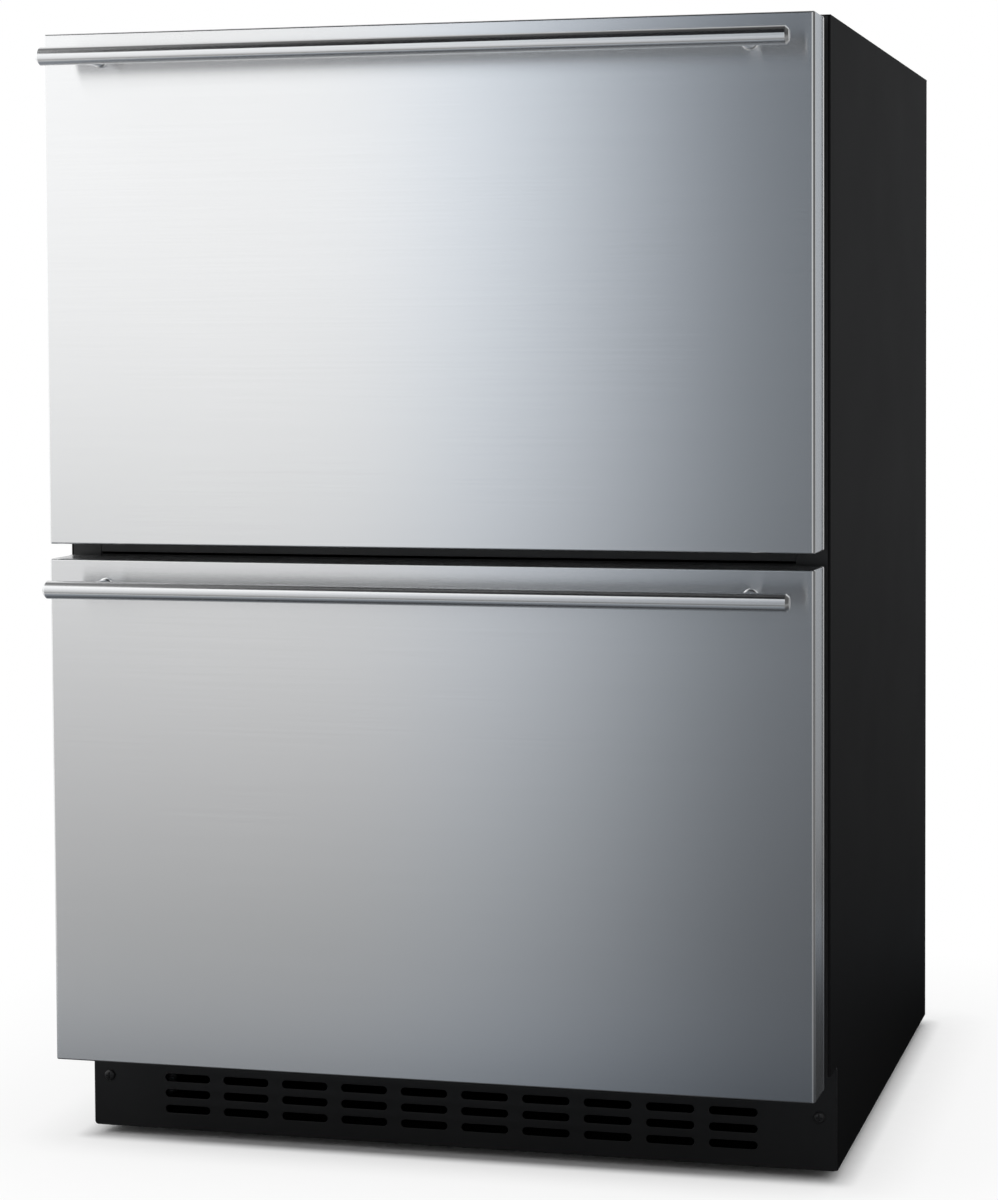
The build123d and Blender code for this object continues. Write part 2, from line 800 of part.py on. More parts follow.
def fan_shroud():
    """The plastic housing behind the condenser, with a round mouth and a spider for the motor."""
    x0 = condenser_x - condenser_width / 2 - header_width
    x1 = condenser_x + condenser_width / 2 + header_width
    top_z = condenser_low_z + condenser_height
    front_y, back_y = condenser_back_y, shroud_back_y
    body = block(x0, x1, front_y, back_y, condenser_low_z, top_z)
    body = chamfer(body.edges().filter_by(Axis.Y), shroud_edge)
    hollow = block(x0 + shroud_sheet, x1 - shroud_sheet, front_y, back_y - shroud_sheet,
                   condenser_low_z + shroud_sheet, top_z - shroud_sheet)
    mouth = prism_y(large_sides, big_fan_radius + big_fan_clearance, condenser_x, front_y,
                    back_y + cut_past, big_fan_z)
    feet = block(x0, x0 + shroud_foot_width, front_y, back_y, pan_top_z, condenser_low_z)
    feet += block(x1 - shroud_foot_width, x1, front_y, back_y, pan_top_z, condenser_low_z)
    reach = big_fan_radius + spider_overlap
    half = spider_width / 2
    arms_y = back_y + spider_sheet
    arms = block(condenser_x - reach, condenser_x + reach, back_y, arms_y, big_fan_z - half, big_fan_z + half)
    arms += block(condenser_x - half, condenser_x + half, back_y, arms_y, big_fan_z - reach, big_fan_z + reach)
    seat = prism_y(small_sides, shaft_radius + spider_seat, condenser_x, back_y - cut_past,
                   arms_y + cut_past, big_fan_z)
    return body - hollow - mouth + feet + arms - seat


def motor(x, z, y_face, size, length, shaft_reach):
    """A small frame motor: laminated core, coil on one side, end cap and a shaft towards -Y."""
    core = block(x - size, x + size, y_face + length * 0.3, y_face + length * 0.75, z - size * 0.8, z + size)
    coil = block(x - size * 0.55, x + size * 0.55, y_face + length * 0.1, y_face + length,
                 z - size * 1.25, z - size * 0.8)
    cap = prism_y(middle_sides, size * 0.6, x, y_face, y_face + length, z)
    return core + coil + cap + rod_y(shaft_radius, x, y_face - shaft_reach, y_face, z)


def condenser_fan_motor():
    """The motor on the spider, with its shaft through to the blade."""
    x, y, z = fan_places()["condenser"]
    face = shroud_back_y + spider_sheet
    return motor(x, z, face, big_motor_size, big_motor_length, face - y - shaft_end_gap)


def evaporator_fan_motor():
    """The motor on the back of the liner."""
    x, y, z = fan_places()["evaporator"]
    face = liner_back_y - small_motor_length
    return motor(x, z, face, small_motor_size, small_motor_length, face - y - shaft_end_gap)


def drain_pan():
    """The tray on the compressor that the melt water dries from."""
    def level(shrink, z, height):
        outline = rounded_points(drain_pan_width / 2 - shrink, drain_pan_depth / 2 - shrink,
                                 drain_pan_radius - shrink)
        return Pos(compressor_x, compressor_y, z) * extrude(Polygon(*outline, align=None),
                                                            amount=height, dir=(0, 0, 1))

    tray = level(0, shell_top_z, drain_pan_height)
    return tray - level(drain_pan_wall, shell_top_z + drain_pan_wall, drain_pan_height)


def drain_tube():
    """The tube from the liner to the drain pan, with a flange inside the liner."""
    top_z = hump_top_z + liner_sheet
    y = liner_back_y - drain_tube_y_in
    low_z = bay_height - drain_tube_drop
    tube = prism_z(small_sides, drain_tube_radius, drain_tube_x, y, low_z, top_z)
    flange = prism_z(small_sides, drain_tube_radius + drain_flange, drain_tube_x, y,
                     top_z, top_z + liner_sheet)
    return tube + flange - prism_z(small_sides, drain_tube_bore, drain_tube_x, y,
                                   low_z - cut_past, top_z + liner_sheet + cut_past)


def control_box():
    """The closed box of the control board, with a groove at its lid."""
    x0, x1 = control_x, control_x + control_width
    y0 = bay_front_y + sheet + control_gap
    y1 = y0 + control_depth
    top_z = pan_top_z + control_height
    box = block(x0, x1, y0, y1, pan_top_z, top_z)
    lid_z = top_z - control_lid
    d = control_groove_depth
    groove = block(x0 - cut_past, x1 + cut_past, y0 - cut_past, y1 + cut_past,
                   lid_z, lid_z + control_groove)
    groove -= block(x0 + d, x1 - d, y0 + d, y1 - d, lid_z, lid_z + control_groove)
    return chamfer(box.edges().filter_by(Axis.Z), control_edge) - groove


def discharge_line():
    """The straight copper pipe from the compressor shell to the head of the condenser."""
    y = condenser_y + condenser_thickness / 2
    z = shell_top_z - crown_height - shoulder_height - 3 * line_radius
    x1 = condenser_x - condenser_width / 2 - header_width
    pipe = rod_x(line_radius, compressor_x, x1, y, z)
    return pipe - prism_z(large_sides, compressor_radius, compressor_x, compressor_y,
                          shell_low_z, shell_top_z)


# Evaporator and air duct


def duct_cover():
    """The white cover of the evaporator: a shallow tray with outlet and return slots."""
    z0 = hump_top_z + liner_sheet + duct_gap
    z1 = liner_top_z - duct_gap
    x = duct_width / 2
    tray = block(-x, x, duct_front_y, liner_back_y, z0, z1)
    tray = chamfer(tray.edges().filter_by(Axis.Y), duct_edge)
    hollow = block(-x + duct_wall, x - duct_wall, duct_front_y + duct_wall, liner_back_y,
                   z0 + duct_wall, z1 - duct_wall)
    hollow = chamfer(hollow.edges().filter_by(Axis.Y), duct_edge - duct_wall / 2)
    y0, y1 = duct_front_y - cut_past, duct_front_y + duct_wall + cut_past
    slots = []
    for row in range(outlet_rows):
        rise = (row - (outlet_rows - 1) / 2) * outlet_pitch
        reach = (small_fan_radius ** 2 - rise ** 2) ** 0.5
        low_z = small_fan_z + rise - outlet_height / 2
        slots.append(block(-reach, reach, y0, y1, low_z, low_z + outlet_height))
    for column in range(return_slots):
        px = (column - (return_slots - 1) / 2) * return_pitch
        slots.append(block(px - return_length / 2, px + return_length / 2, y0, y1,
                           z0 + return_rise, z0 + return_rise + return_height))
    return tray - hollow - slots


def evaporator():
    """A roll-bond plate with a raised serpentine channel, on two side wings."""
    x = evaporator_width / 2
    plate_y = liner_back_y - evaporator_depth
    z0, z1 = evaporator_low_z, evaporator_high_z
    plate = block(-x, x, plate_y, plate_y + evaporator_sheet, z0, z1)
    for side in (-1, 1):
        outer, inner = side * x, side * (x - evaporator_sheet)
        plate += block(min(outer, inner), max(outer, inner), plate_y, liner_back_y, z0, z1)
    run = x - channel_side_margin
    pitch = (z1 - z0 - 2 * channel_end_margin) / (channel_passes - 1)
    front = plate_y - channel_height
    channel = []
    for row in range(channel_passes):
        z = z0 + channel_end_margin + row * pitch
        channel.append(block(-run, run, front, plate_y, z - channel_width / 2, z + channel_width / 2))
        if row < channel_passes - 1:
            end = run if row % 2 == 0 else -run + channel_width
            channel.append(block(end - channel_width, end, front, plate_y, z, z + pitch))
    return fuse([plate] + channel)


def defrost_heater():
    """A straight glass-tube heater between two holders on the back of the liner."""
    y = liner_back_y - evaporator_depth / 2
    half = heater_length / 2
    tube = rod_x(heater_radius, -half, half, y, heater_z)
    for side in (-1, 1):
        x = side * half
        tube += block(x - heater_holder_sheet / 2, x + heater_holder_sheet / 2,
                      y - heater_holder / 2, liner_back_y,
                      heater_z - heater_holder / 2, heater_z + heater_holder / 2)
    return tube


# Slides


def slide_z(drawer):
    """Height of a drawer's slides."""
    return rim_z(drawer) - rim_thickness - bracket_sheet - rail_height / 2 - slide_drop


def rim_z(drawer):
    """Top of a drawer's bin."""
    return drawer.open_high_z - rim_clearance


def channel_profile(web, mouth, half, lip=0):
    """The outline of an open channel: its web, two flanges towards the mouth, and a lip on each if any."""
    s = 1 if mouth > web else -1
    t = slide_sheet
    upper = [(web + s * t, half - t)]
    if lip:
        upper += [(mouth - s * t, half - t), (mouth - s * t, half - lip), (mouth, half - lip)]
    else:
        upper += [(mouth, half - t)]
    upper += [(mouth, half), (web, half)]
    return upper + [(u, -w) for u, w in reversed(upper)]


def slide_bar(points, side, z, y0, length):
    """A slide member: a profile of (distance in from the liner wall, height) pulled along Y."""
    outline = [(side * (liner_half - u), z + w) for u, w in points]
    face = Plane.XZ.offset(-y0) * Polygon(*outline, align=None)
    return extrude(face, amount=length, dir=(0, 1, 0))


def slide_rails(drawer):
    """The cabinet members, one on each liner wall."""
    points = channel_profile(0, slide_thickness - slide_gap, rail_height / 2, rail_lip)
    return both_sides(lambda side: slide_bar(points, side, slide_z(drawer), slide_front_y, rail_length))


def slide_middles(drawer):
    """The middle members."""
    web = slide_sheet + slide_gap
    mouth = slide_thickness - slide_gap - glide_clearance
    points = channel_profile(web, mouth, middle_height / 2)
    return both_sides(lambda side: slide_bar(points, side, slide_z(drawer), slide_front_y, middle_length))


def slide_glides(drawer):
    """The plastic glide strips on both faces of the middle members' flanges."""
    half = middle_height / 2
    outer_low, outer_high = half, rail_height / 2 - slide_sheet - glide_clearance
    inner_low, inner_high = runner_height / 2 + glide_clearance, half - slide_sheet
    u0 = 2 * slide_sheet + slide_gap + glide_margin
    u1 = slide_thickness - slide_gap - slide_sheet - glide_margin / 2
    strips = []
    for side in (-1, 1):
        for low, high in ((outer_low, outer_high), (inner_low, inner_high)):
            for w0, w1 in ((low, high), (-high, -low)):
                points = [(u0, w0), (u1, w0), (u1, w1), (u0, w1)]
                strips.append(slide_bar(points, side, slide_z(drawer), slide_front_y, middle_length))
    return strips


def slide_runners(drawer):
    """The drawer members, open towards the liner wall."""
    points = channel_profile(slide_thickness, slide_thickness - runner_mouth, runner_height / 2)
    return both_sides(lambda side: slide_bar(points, side, slide_z(drawer), slide_front_y, runner_length))


# Drawers


def post_xs():
    """The two places of the handle posts."""
    return (-post_spacing / 2, post_spacing / 2)


def bar_z(drawer):
    """Height of a drawer's handle."""
    return drawer.front_z + front_height - bar_drop


def front_skin(drawer):
    """The folded stainless skin: a tray with a small edge radius and a return lip at the back."""
    x = front_width / 2
    z0, z1 = drawer.front_z, drawer.front_z + front_height
    tray = block(-x, x, face_y, front_back_y, z0, z1)
    tray = fillet(tray.faces().sort_by(Axis.Y)[0].edges(), skin_edge_radius)
    t = skin_sheet
    hollow = block(-x + t, x - t, face_y + t, front_back_y - t, z0 + t, z1 - t)
    hollow = chamfer(hollow.faces().sort_by(Axis.Y)[0].edges(), skin_edge_radius - t)
    lip = t + skin_lip
    mouth = block(-x + lip, x - lip, front_back_y - t, front_back_y, z0 + lip, z1 - lip)
    tray = tray - hollow - mouth
    for px in post_xs():
        tray -= prism_y(small_sides, handle_screw_diameter / 2 + fit_gap, px, face_y - cut_past,
                        face_y + t + cut_past, bar_z(drawer))
    return tray


def dike_box(drawer, shrink, y0, y1):
    """The raised middle of the inner panel, which reaches into the cabinet opening."""
    x = dike_half - shrink
    z0 = drawer.open_low_z + dike_clearance + shrink
    z1 = drawer.open_high_z - dike_clearance - shrink
    dike = block(-x, x, y0, y1, z0, z1)
    return chamfer(dike.edges().filter_by(Axis.Y), dike_edge)


def front_panel(drawer):
    """The white moulded inner panel of a front: a flange and a raised middle, open to the foam."""
    t = panel_sheet
    x = front_width / 2 - skin_sheet
    flange = block(-x, x, front_back_y, front_back_y + t,
                   drawer.front_z + skin_sheet, drawer.front_z + front_height - skin_sheet)
    dike = dike_box(drawer, 0, front_back_y, dike_back_y)
    return flange + dike - dike_box(drawer, t, front_back_y, dike_back_y - t)


def front_foam(drawer):
    """The foam that fills a front between its skin and its inner panel."""
    x = front_width / 2
    z0, z1 = drawer.front_z, drawer.front_z + front_height
    t = skin_sheet
    core = block(-x + t, x - t, face_y + t, front_back_y - t, z0 + t, z1 - t)
    core = chamfer(core.faces().sort_by(Axis.Y)[0].edges(), skin_edge_radius - t)
    lip = t + skin_lip
    core += block(-x + lip, x - lip, front_back_y - t, front_back_y, z0 + lip, z1 - lip)
    core += dike_box(drawer, panel_sheet, front_back_y, dike_back_y - panel_sheet)
    head_y = face_y + t + handle_screw_head_height
    for px in post_xs():
        core -= prism_y(6, handle_screw_head / 2 + fit_gap, px, face_y + t, head_y, bar_z(drawer))
    return core


def gasket(drawer):
    """The door seal: a foot on the inner panel, a narrow neck and the magnet strip."""
    x = front_width / 2 - gasket_inset
    z0, z1 = drawer.gasket_low_z, drawer.front_z + front_height - gasket_inset
    foot_y = front_back_y + panel_sheet
    neck_y = foot_y + gasket_foot_depth
    strip_y = neck_y + gasket_neck_depth
    foot = frame_y(x, z0, z1, gasket_foot_width, foot_y, neck_y)
    d = gasket_neck_inset
    neck = frame_y(x - d, z0 + d, z1 - d, gasket_neck_width, neck_y, strip_y)
    d = gasket_strip_inset
    strip = frame_y(x - d, z0 + d, z1 - d, gasket_strip_width, strip_y, cabinet_front_y - gasket_contact_gap)
    return foot + neck + strip


def handle_bar(drawer):
    """The round bar, chamfered at its ends and spot-faced where the posts seat."""
    half = bar_length / 2
    bar = rod_x(bar_diameter / 2, -half, half, bar_y, bar_z(drawer))
    bar = chamfer(bar.edges().filter_by(GeomType.CIRCLE), bar_chamfer)
    seat_y = bar_y + bar_diameter / 2 - post_seat_depth
    for px in post_xs():
        reach = post_diameter / 2 + fit_gap
        bar -= block(px - reach, px + reach, seat_y, seat_y + bar_diameter,
                     bar_z(drawer) - bar_diameter, bar_z(drawer) + bar_diameter)
    return bar


def handle_posts(drawer):
    """Two round posts, each with a threaded hole for its screw."""
    posts = []
    seat_y = bar_y + bar_diameter / 2 - post_seat_depth
    hole_end = face_y + skin_sheet - handle_screw_length - cut_past
    z = bar_z(drawer)
    for px in post_xs():
        post = rod_y(post_diameter / 2, px, seat_y, face_y, z)
        posts.append(post - prism_y(small_sides, handle_screw_diameter / 2 + fit_gap, px, hole_end,
                                    face_y + cut_past, z))
    return posts


def handle_screws(drawer):
    """Two hexagon-head screws from inside the skin into the posts."""
    screws = []
    z = bar_z(drawer)
    head_y = face_y + skin_sheet
    for px in post_xs():
        head = prism_y(6, handle_screw_head / 2, px, head_y, head_y + handle_screw_head_height, z)
        screws.append(head + prism_y(small_sides, handle_screw_diameter / 2, px,
                                     head_y - handle_screw_length, head_y, z))
    return screws


def drawer_brackets(drawer):
    """A folded steel bracket on each side: web on the runner, ledge under the bin rim, tab on the front."""
    ledge_top = rim_z(drawer) - rim_thickness
    low_z = slide_z(drawer) - runner_height / 2
    y0, y1 = dike_back_y, slide_front_y + runner_length

    def bracket(side):
        outer, inner = side * bracket_outer_x, side * bracket_inner_x
        edge = side * (bracket_inner_x - ledge_width)
        tab_edge = side * (bracket_outer_x - tab_width)
        web = block(min(outer, inner), max(outer, inner), y0, y1, low_z, ledge_top)
        ledge = block(min(inner, edge), max(inner, edge), y0, y1, ledge_top - bracket_sheet, ledge_top)
        tab = block(min(outer, tab_edge), max(outer, tab_edge), y0, y0 + bracket_sheet, low_z, ledge_top)
        return web + ledge + tab

    return both_sides(bracket)


def bin_body(half, y0, y1, z0, z1, radius):
    """A tapered block with rounded corners, widest at the top."""
    outline = rounded_points(half, (y1 - y0) / 2, radius)
    top = Plane.XY.offset(z1) * Pos(0, (y0 + y1) / 2) * Polygon(*outline, align=None)
    return extrude(top, amount=z1 - z0, dir=(0, 0, -1), taper=bin_draft)


def drawer_bin(drawer):
    """The moulded bin: tapered walls, rounded corners and a rim that rests on the brackets."""
    top_z = rim_z(drawer)
    low_z = drawer.open_low_z + bin_floor_gap
    y0, y1 = bin_front_y, bin_back_y
    w = bin_wall
    r = bin_corner_radius
    if drawer.stepped:
        step_z = hump_top_z + liner_sheet + step_clearance
        step_y = hump_front_y - liner_sheet - step_clearance
        drop = (top_z - step_z) * tan(radians(bin_draft))
        outer = bin_body(bin_half, y0, y1, step_z, top_z, r)
        outer += bin_body(bin_half - drop, y0 + drop, step_y, low_z, step_z + w, r)
        inner = bin_body(bin_half - w, y0 + w, y1 - w, step_z + w, top_z + cut_past, r - w)
        inner += bin_body(bin_half - drop - w, y0 + drop + w, step_y - w, low_z + w, step_z + 2 * w, r - w)
    else:
        outer = bin_body(bin_half, y0, y1, low_z, top_z, r)
        inner = bin_body(bin_half - w, y0 + w, y1 - w, low_z + w, top_z + cut_past, r - w)
    rim_outline = rounded_points(rim_half, (y1 - y0) / 2, r)
    rim_face = Plane.XY.offset(top_z) * Pos(0, (y0 + y1) / 2) * Polygon(*rim_outline, align=None)
    rim = extrude(rim_face, amount=rim_thickness, dir=(0, 0, -1))
    return outer + rim - inner


# Every node of the model, by name
nodes = {
    "side_panel_left": side_panel(-1),
    "side_panel_right": side_panel(1),
    "top_panel": top_panel(),
    "rear_panel": rear_panel(),
    "bottom_panel": bottom_panel(),
    "foam_insulation": foam_insulation(),
    "inner_liner": inner_liner(),
    "mullion": mullion(),
    "base_pan": base_pan(),
    "kick_plate": kick_plate(),
    "kick_screws": kick_screws(),
    "bay_cover": bay_cover(),
    "cord_gland": cord_gland(),
    "compressor": compressor(),
    "compressor_grommets": compressor_grommets(),
    "compressor_studs": compressor_studs(),
    "relay_cover": relay_cover(),
    "condenser": condenser(),
    "condenser_fan_shroud": fan_shroud(),
    "condenser_fan_motor": condenser_fan_motor(),
    "condenser_fan_blade": condenser_fan_blade(),
    "drain_pan": drain_pan(),
    "drain_tube": drain_tube(),
    "control_box": control_box(),
    "discharge_line": discharge_line(),
    "evaporator": evaporator(),
    "evaporator_cover": duct_cover(),
    "evaporator_fan_motor": evaporator_fan_motor(),
    "evaporator_fan_blade": evaporator_fan_blade(),
    "defrost_heater": defrost_heater(),
}
for leg_name, (leg_x, leg_y) in leg_places().items():
    nodes["leg_" + leg_name] = levelling_leg(leg_x, leg_y)

makers = {
    "front_skin": front_skin,
    "front_foam": front_foam,
    "front_panel": front_panel,
    "gasket": gasket,
    "handle_bar": handle_bar,
    "handle_posts": handle_posts,
    "handle_screws": handle_screws,
    "bin": drawer_bin,
    "brackets": drawer_brackets,
    "slide_runners": slide_runners,
    "slide_middles": slide_middles,
    "slide_glides": slide_glides,
    "slide_rails": slide_rails,
}
for drawer in drawers:
    for piece_name, make in makers.items():
        nodes[drawer.name + "_" + piece_name] = make(drawer)

os.makedirs("parts", exist_ok=True)
for name, shape in nodes.items():
    if isinstance(shape, list):
        shape = Compound(children=shape)
    export_step(shape, "parts/" + name + ".step")
print(len(nodes), "nodes written")
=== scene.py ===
"""Looks for the two-drawer undercounter freezer, dressed around its CAD frame."""

import math

import bmesh
import bpy
from mathutils import Matrix, Vector


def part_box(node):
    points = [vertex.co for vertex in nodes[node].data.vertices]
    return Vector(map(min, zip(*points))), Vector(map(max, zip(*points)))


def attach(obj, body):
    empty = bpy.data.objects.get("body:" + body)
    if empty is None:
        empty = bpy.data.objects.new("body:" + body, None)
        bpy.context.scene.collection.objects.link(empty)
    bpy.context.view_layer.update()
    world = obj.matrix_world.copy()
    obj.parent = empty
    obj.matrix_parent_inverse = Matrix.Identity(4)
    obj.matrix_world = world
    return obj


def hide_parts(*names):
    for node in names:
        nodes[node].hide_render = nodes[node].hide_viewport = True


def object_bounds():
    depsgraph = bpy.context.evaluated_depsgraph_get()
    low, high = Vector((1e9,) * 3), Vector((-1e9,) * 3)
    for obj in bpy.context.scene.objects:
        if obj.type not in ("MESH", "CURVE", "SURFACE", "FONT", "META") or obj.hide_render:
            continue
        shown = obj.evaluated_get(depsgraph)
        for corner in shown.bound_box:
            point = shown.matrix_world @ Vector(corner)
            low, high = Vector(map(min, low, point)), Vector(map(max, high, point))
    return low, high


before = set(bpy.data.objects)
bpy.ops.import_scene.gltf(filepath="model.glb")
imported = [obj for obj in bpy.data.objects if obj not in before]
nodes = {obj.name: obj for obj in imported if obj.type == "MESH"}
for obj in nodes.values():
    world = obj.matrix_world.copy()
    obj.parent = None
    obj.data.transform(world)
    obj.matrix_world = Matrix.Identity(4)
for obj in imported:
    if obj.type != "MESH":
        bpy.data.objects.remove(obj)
cad_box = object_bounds()
node_slot = {node: shape.data.materials[0].name for node, shape in nodes.items()}
half_width = cad_box[1][0]
box_floor_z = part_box("bottom_panel")[0].z
kick_face_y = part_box("kick_plate")[0].y

# Sizes that the frame's boxes don't give

mm = 0.001
wrap_sheet = 1.0 * mm
kick_sheet = 1.5 * mm
flange_width = 25 * mm
rear_flange = 15 * mm
bin_slope = math.tan(math.radians(2.0))


# Node graphs and objects

class Graph:
    """A short way of writing a node tree."""

    def __init__(self, tree):
        self.tree = tree
        self.tree.nodes.clear()

    def add(self, kind, inputs=None, **settings):
        made = self.tree.nodes.new(kind)
        for key, value in settings.items():
            setattr(made, key, value)
        for key, value in (inputs or {}).items():
            self.put(made.inputs[key], value)
        return made

    def put(self, socket, value):
        if isinstance(value, bpy.types.NodeSocket):
            self.tree.links.new(value, socket)
        elif isinstance(value, bpy.types.Node):
            self.tree.links.new(value.outputs[0], socket)
        else:
            socket.default_value = value

    def math(self, operation, *values):
        return self.add("ShaderNodeMath", dict(enumerate(values)), operation=operation)

    def vector(self, operation, *values):
        return self.add("ShaderNodeVectorMath", dict(enumerate(values)), operation=operation)

    def ramp(self, factor, stops):
        made = self.add("ShaderNodeValToRGB", {"Fac": factor})
        elements = made.color_ramp.elements
        while len(elements) > 1:
            elements.remove(elements[-1])
        for i, (place, value) in enumerate(stops):
            element = elements[0] if i == 0 else elements.new(place)
            element.position = place
            colour = value if isinstance(value, tuple) else (value, value, value)
            element.color = (*colour, 1)
        return made

    def spread(self, factor, low, high):
        made = self.add("ShaderNodeMapRange", {"Value": factor, "To Min": low, "To Max": high})
        return made.outputs["Result"]

    def stretched(self, scale):
        place = self.add("ShaderNodeTexCoord").outputs["Object"]
        return self.add("ShaderNodeMapping", {"Vector": place, "Scale": scale}).outputs["Vector"]

    def noise(self, scale, stretch=(1, 1, 1), detail=3.0, roughness=0.5):
        made = self.add("ShaderNodeTexNoise", {"Vector": self.stretched(stretch), "Scale": scale,
                                               "Detail": detail, "Roughness": roughness})
        return made.outputs["Fac"]

    def multiply(self, first, second):
        return self.add("ShaderNodeMixRGB", {"Fac": 1.0, "Color1": first, "Color2": second},
                        blend_type="MULTIPLY")

    def worn_and_highlit_edges(self, width):
        """1 on the edges of a shape, broken up as if by handling, and 0 on its faces: a mask for edge wear
        and for a painted edge highlight.
        """
        soft = self.add("ShaderNodeBevel", {"Radius": width}, samples=4)
        true = self.add("ShaderNodeNewGeometry").outputs["Normal"]
        bend = self.vector("DOT_PRODUCT", soft.outputs[0], true)
        worn_and_highlit = self.ramp(bend.outputs["Value"], [(0.80, 1.0), (0.985, 0.0)])
        return self.math("MULTIPLY", worn_and_highlit, self.ramp(self.noise(140.0), [(0.35, 0.15), (0.65, 1.0)]))


def new_object(name, data):
    made = bpy.data.objects.new(name, data)
    bpy.context.scene.collection.objects.link(made)
    return made


def new_material(name):
    made = bpy.data.materials.new(name)
    made.use_nodes = True
    return made, Graph(made.node_tree)


def tint(colour, factor):
    return tuple(min(1.0, c * factor) for c in colour)


# Materials

def plain_surface(name, colour, roughness, metallic=0.0, specular=0.5, patch=0.06, patch_scale=9.0,
                  grain_scale=900.0, grain_depth=0.06, rough_swing=0.08, edge_wear_and_highlight=1.25, edge_wear_and_highlight_width=0.6 * mm,
                  coat=0.0):
    """A finish with a grain, slow patches of colour and gloss, and edges painted lighter, partly as wear and
    partly as a painted highlight.
    """
    made, g = new_material(name)
    slow = g.noise(patch_scale, detail=4)
    fine = g.noise(grain_scale)
    base = g.ramp(slow, [(0.3, tint(colour, 1 - patch)), (0.7, tint(colour, 1 + patch))])
    base = g.multiply(base, g.ramp(fine, [(0.25, 1 - patch), (0.75, 1.0)]))
    # Lighter edges in the colour: partly wear, partly a painted edge highlight.
    if edge_wear_and_highlight > 1:
        base = g.add("ShaderNodeMixRGB", {"Fac": g.worn_and_highlit_edges(edge_wear_and_highlight_width), "Color1": base,
                                          "Color2": (*tint(colour, edge_wear_and_highlight), 1)})
    bump = g.add("ShaderNodeBump", {"Strength": grain_depth, "Distance": 0.4 * mm, "Height": fine})
    rough = g.spread(slow, roughness - rough_swing / 2, roughness + rough_swing / 2)
    shader = g.add("ShaderNodeBsdfPrincipled", {"Base Color": base, "Metallic": metallic, "Roughness": rough,
                                                "Specular IOR Level": specular, "Normal": bump,
                                                "Coat Weight": coat, "Coat Roughness": 0.12})
    g.add("ShaderNodeOutputMaterial", {"Surface": shader})
    return made


def brushed_steel(name, colour, roughness, anisotropy, grain, fleck=0.02, rough_swing=0.03):
    """Satin steel, ground in one direction: reflections smear across the grain.
    The grain gives how fast the texture changes along each axis."""
    made, g = new_material(name)
    coarse = g.noise(1.0, grain, detail=6, roughness=0.7)
    fine = g.noise(3.1, grain, detail=4, roughness=0.6)
    streak = g.ramp(coarse, [(0.30, tint(colour, 1 - fleck)), (0.70, tint(colour, 1 + fleck / 2))])
    hair = g.ramp(fine, [(0.30, 1 - fleck), (0.70, 1.0)])
    veil = g.ramp(g.noise(4.0), [(0.30, 0.985), (0.70, 1.0)])
    base = g.multiply(g.multiply(streak, hair), veil)
    bump = g.add("ShaderNodeBump", {"Strength": 0.012, "Distance": 0.2 * mm, "Height": fine})
    rough = g.spread(coarse, roughness - rough_swing / 2, roughness + rough_swing / 2)
    tangent = g.add("ShaderNodeTangent", direction_type="UV_MAP")
    shader = g.add("ShaderNodeBsdfPrincipled", {"Base Color": base, "Metallic": 1.0, "Roughness": rough,
                                                "Anisotropic": anisotropy, "Normal": bump,
                                                "Tangent": tangent})
    g.add("ShaderNodeOutputMaterial", {"Surface": shader})
    return made


def spangled_zinc(name, colour, roughness, crystal):
    """Hot-dipped sheet: frosted crystals of zinc, each with its own tone and gloss."""
    made, g = new_material(name)
    wander = g.vector("SCALE", g.add("ShaderNodeTexNoise", {"Scale": 40.0, "Detail": 3.0}).outputs["Color"])
    wander.inputs["Scale"].default_value = 0.010
    place = g.vector("ADD", g.add("ShaderNodeTexCoord").outputs["Object"], wander)
    cells = g.add("ShaderNodeTexVoronoi", {"Vector": place, "Scale": 1 / crystal})
    tone = g.add("ShaderNodeSeparateXYZ", {"Vector": cells.outputs["Color"]})
    base = g.ramp(tone.outputs["X"], [(0.0, tint(colour, 0.88)), (1.0, tint(colour, 1.08))])
    frost = g.noise(420.0, detail=4)
    base = g.multiply(base, g.ramp(frost, [(0.3, 0.95), (0.7, 1.0)]))
    bump = g.add("ShaderNodeBump", {"Strength": 0.06, "Distance": 0.2 * mm, "Height": frost})
    rough = g.spread(tone.outputs["Y"], roughness - 0.06, roughness + 0.06)
    shader = g.add("ShaderNodeBsdfPrincipled", {"Base Color": base, "Metallic": 0.75, "Roughness": rough,
                                                "Normal": bump})
    g.add("ShaderNodeOutputMaterial", {"Surface": shader})
    return made


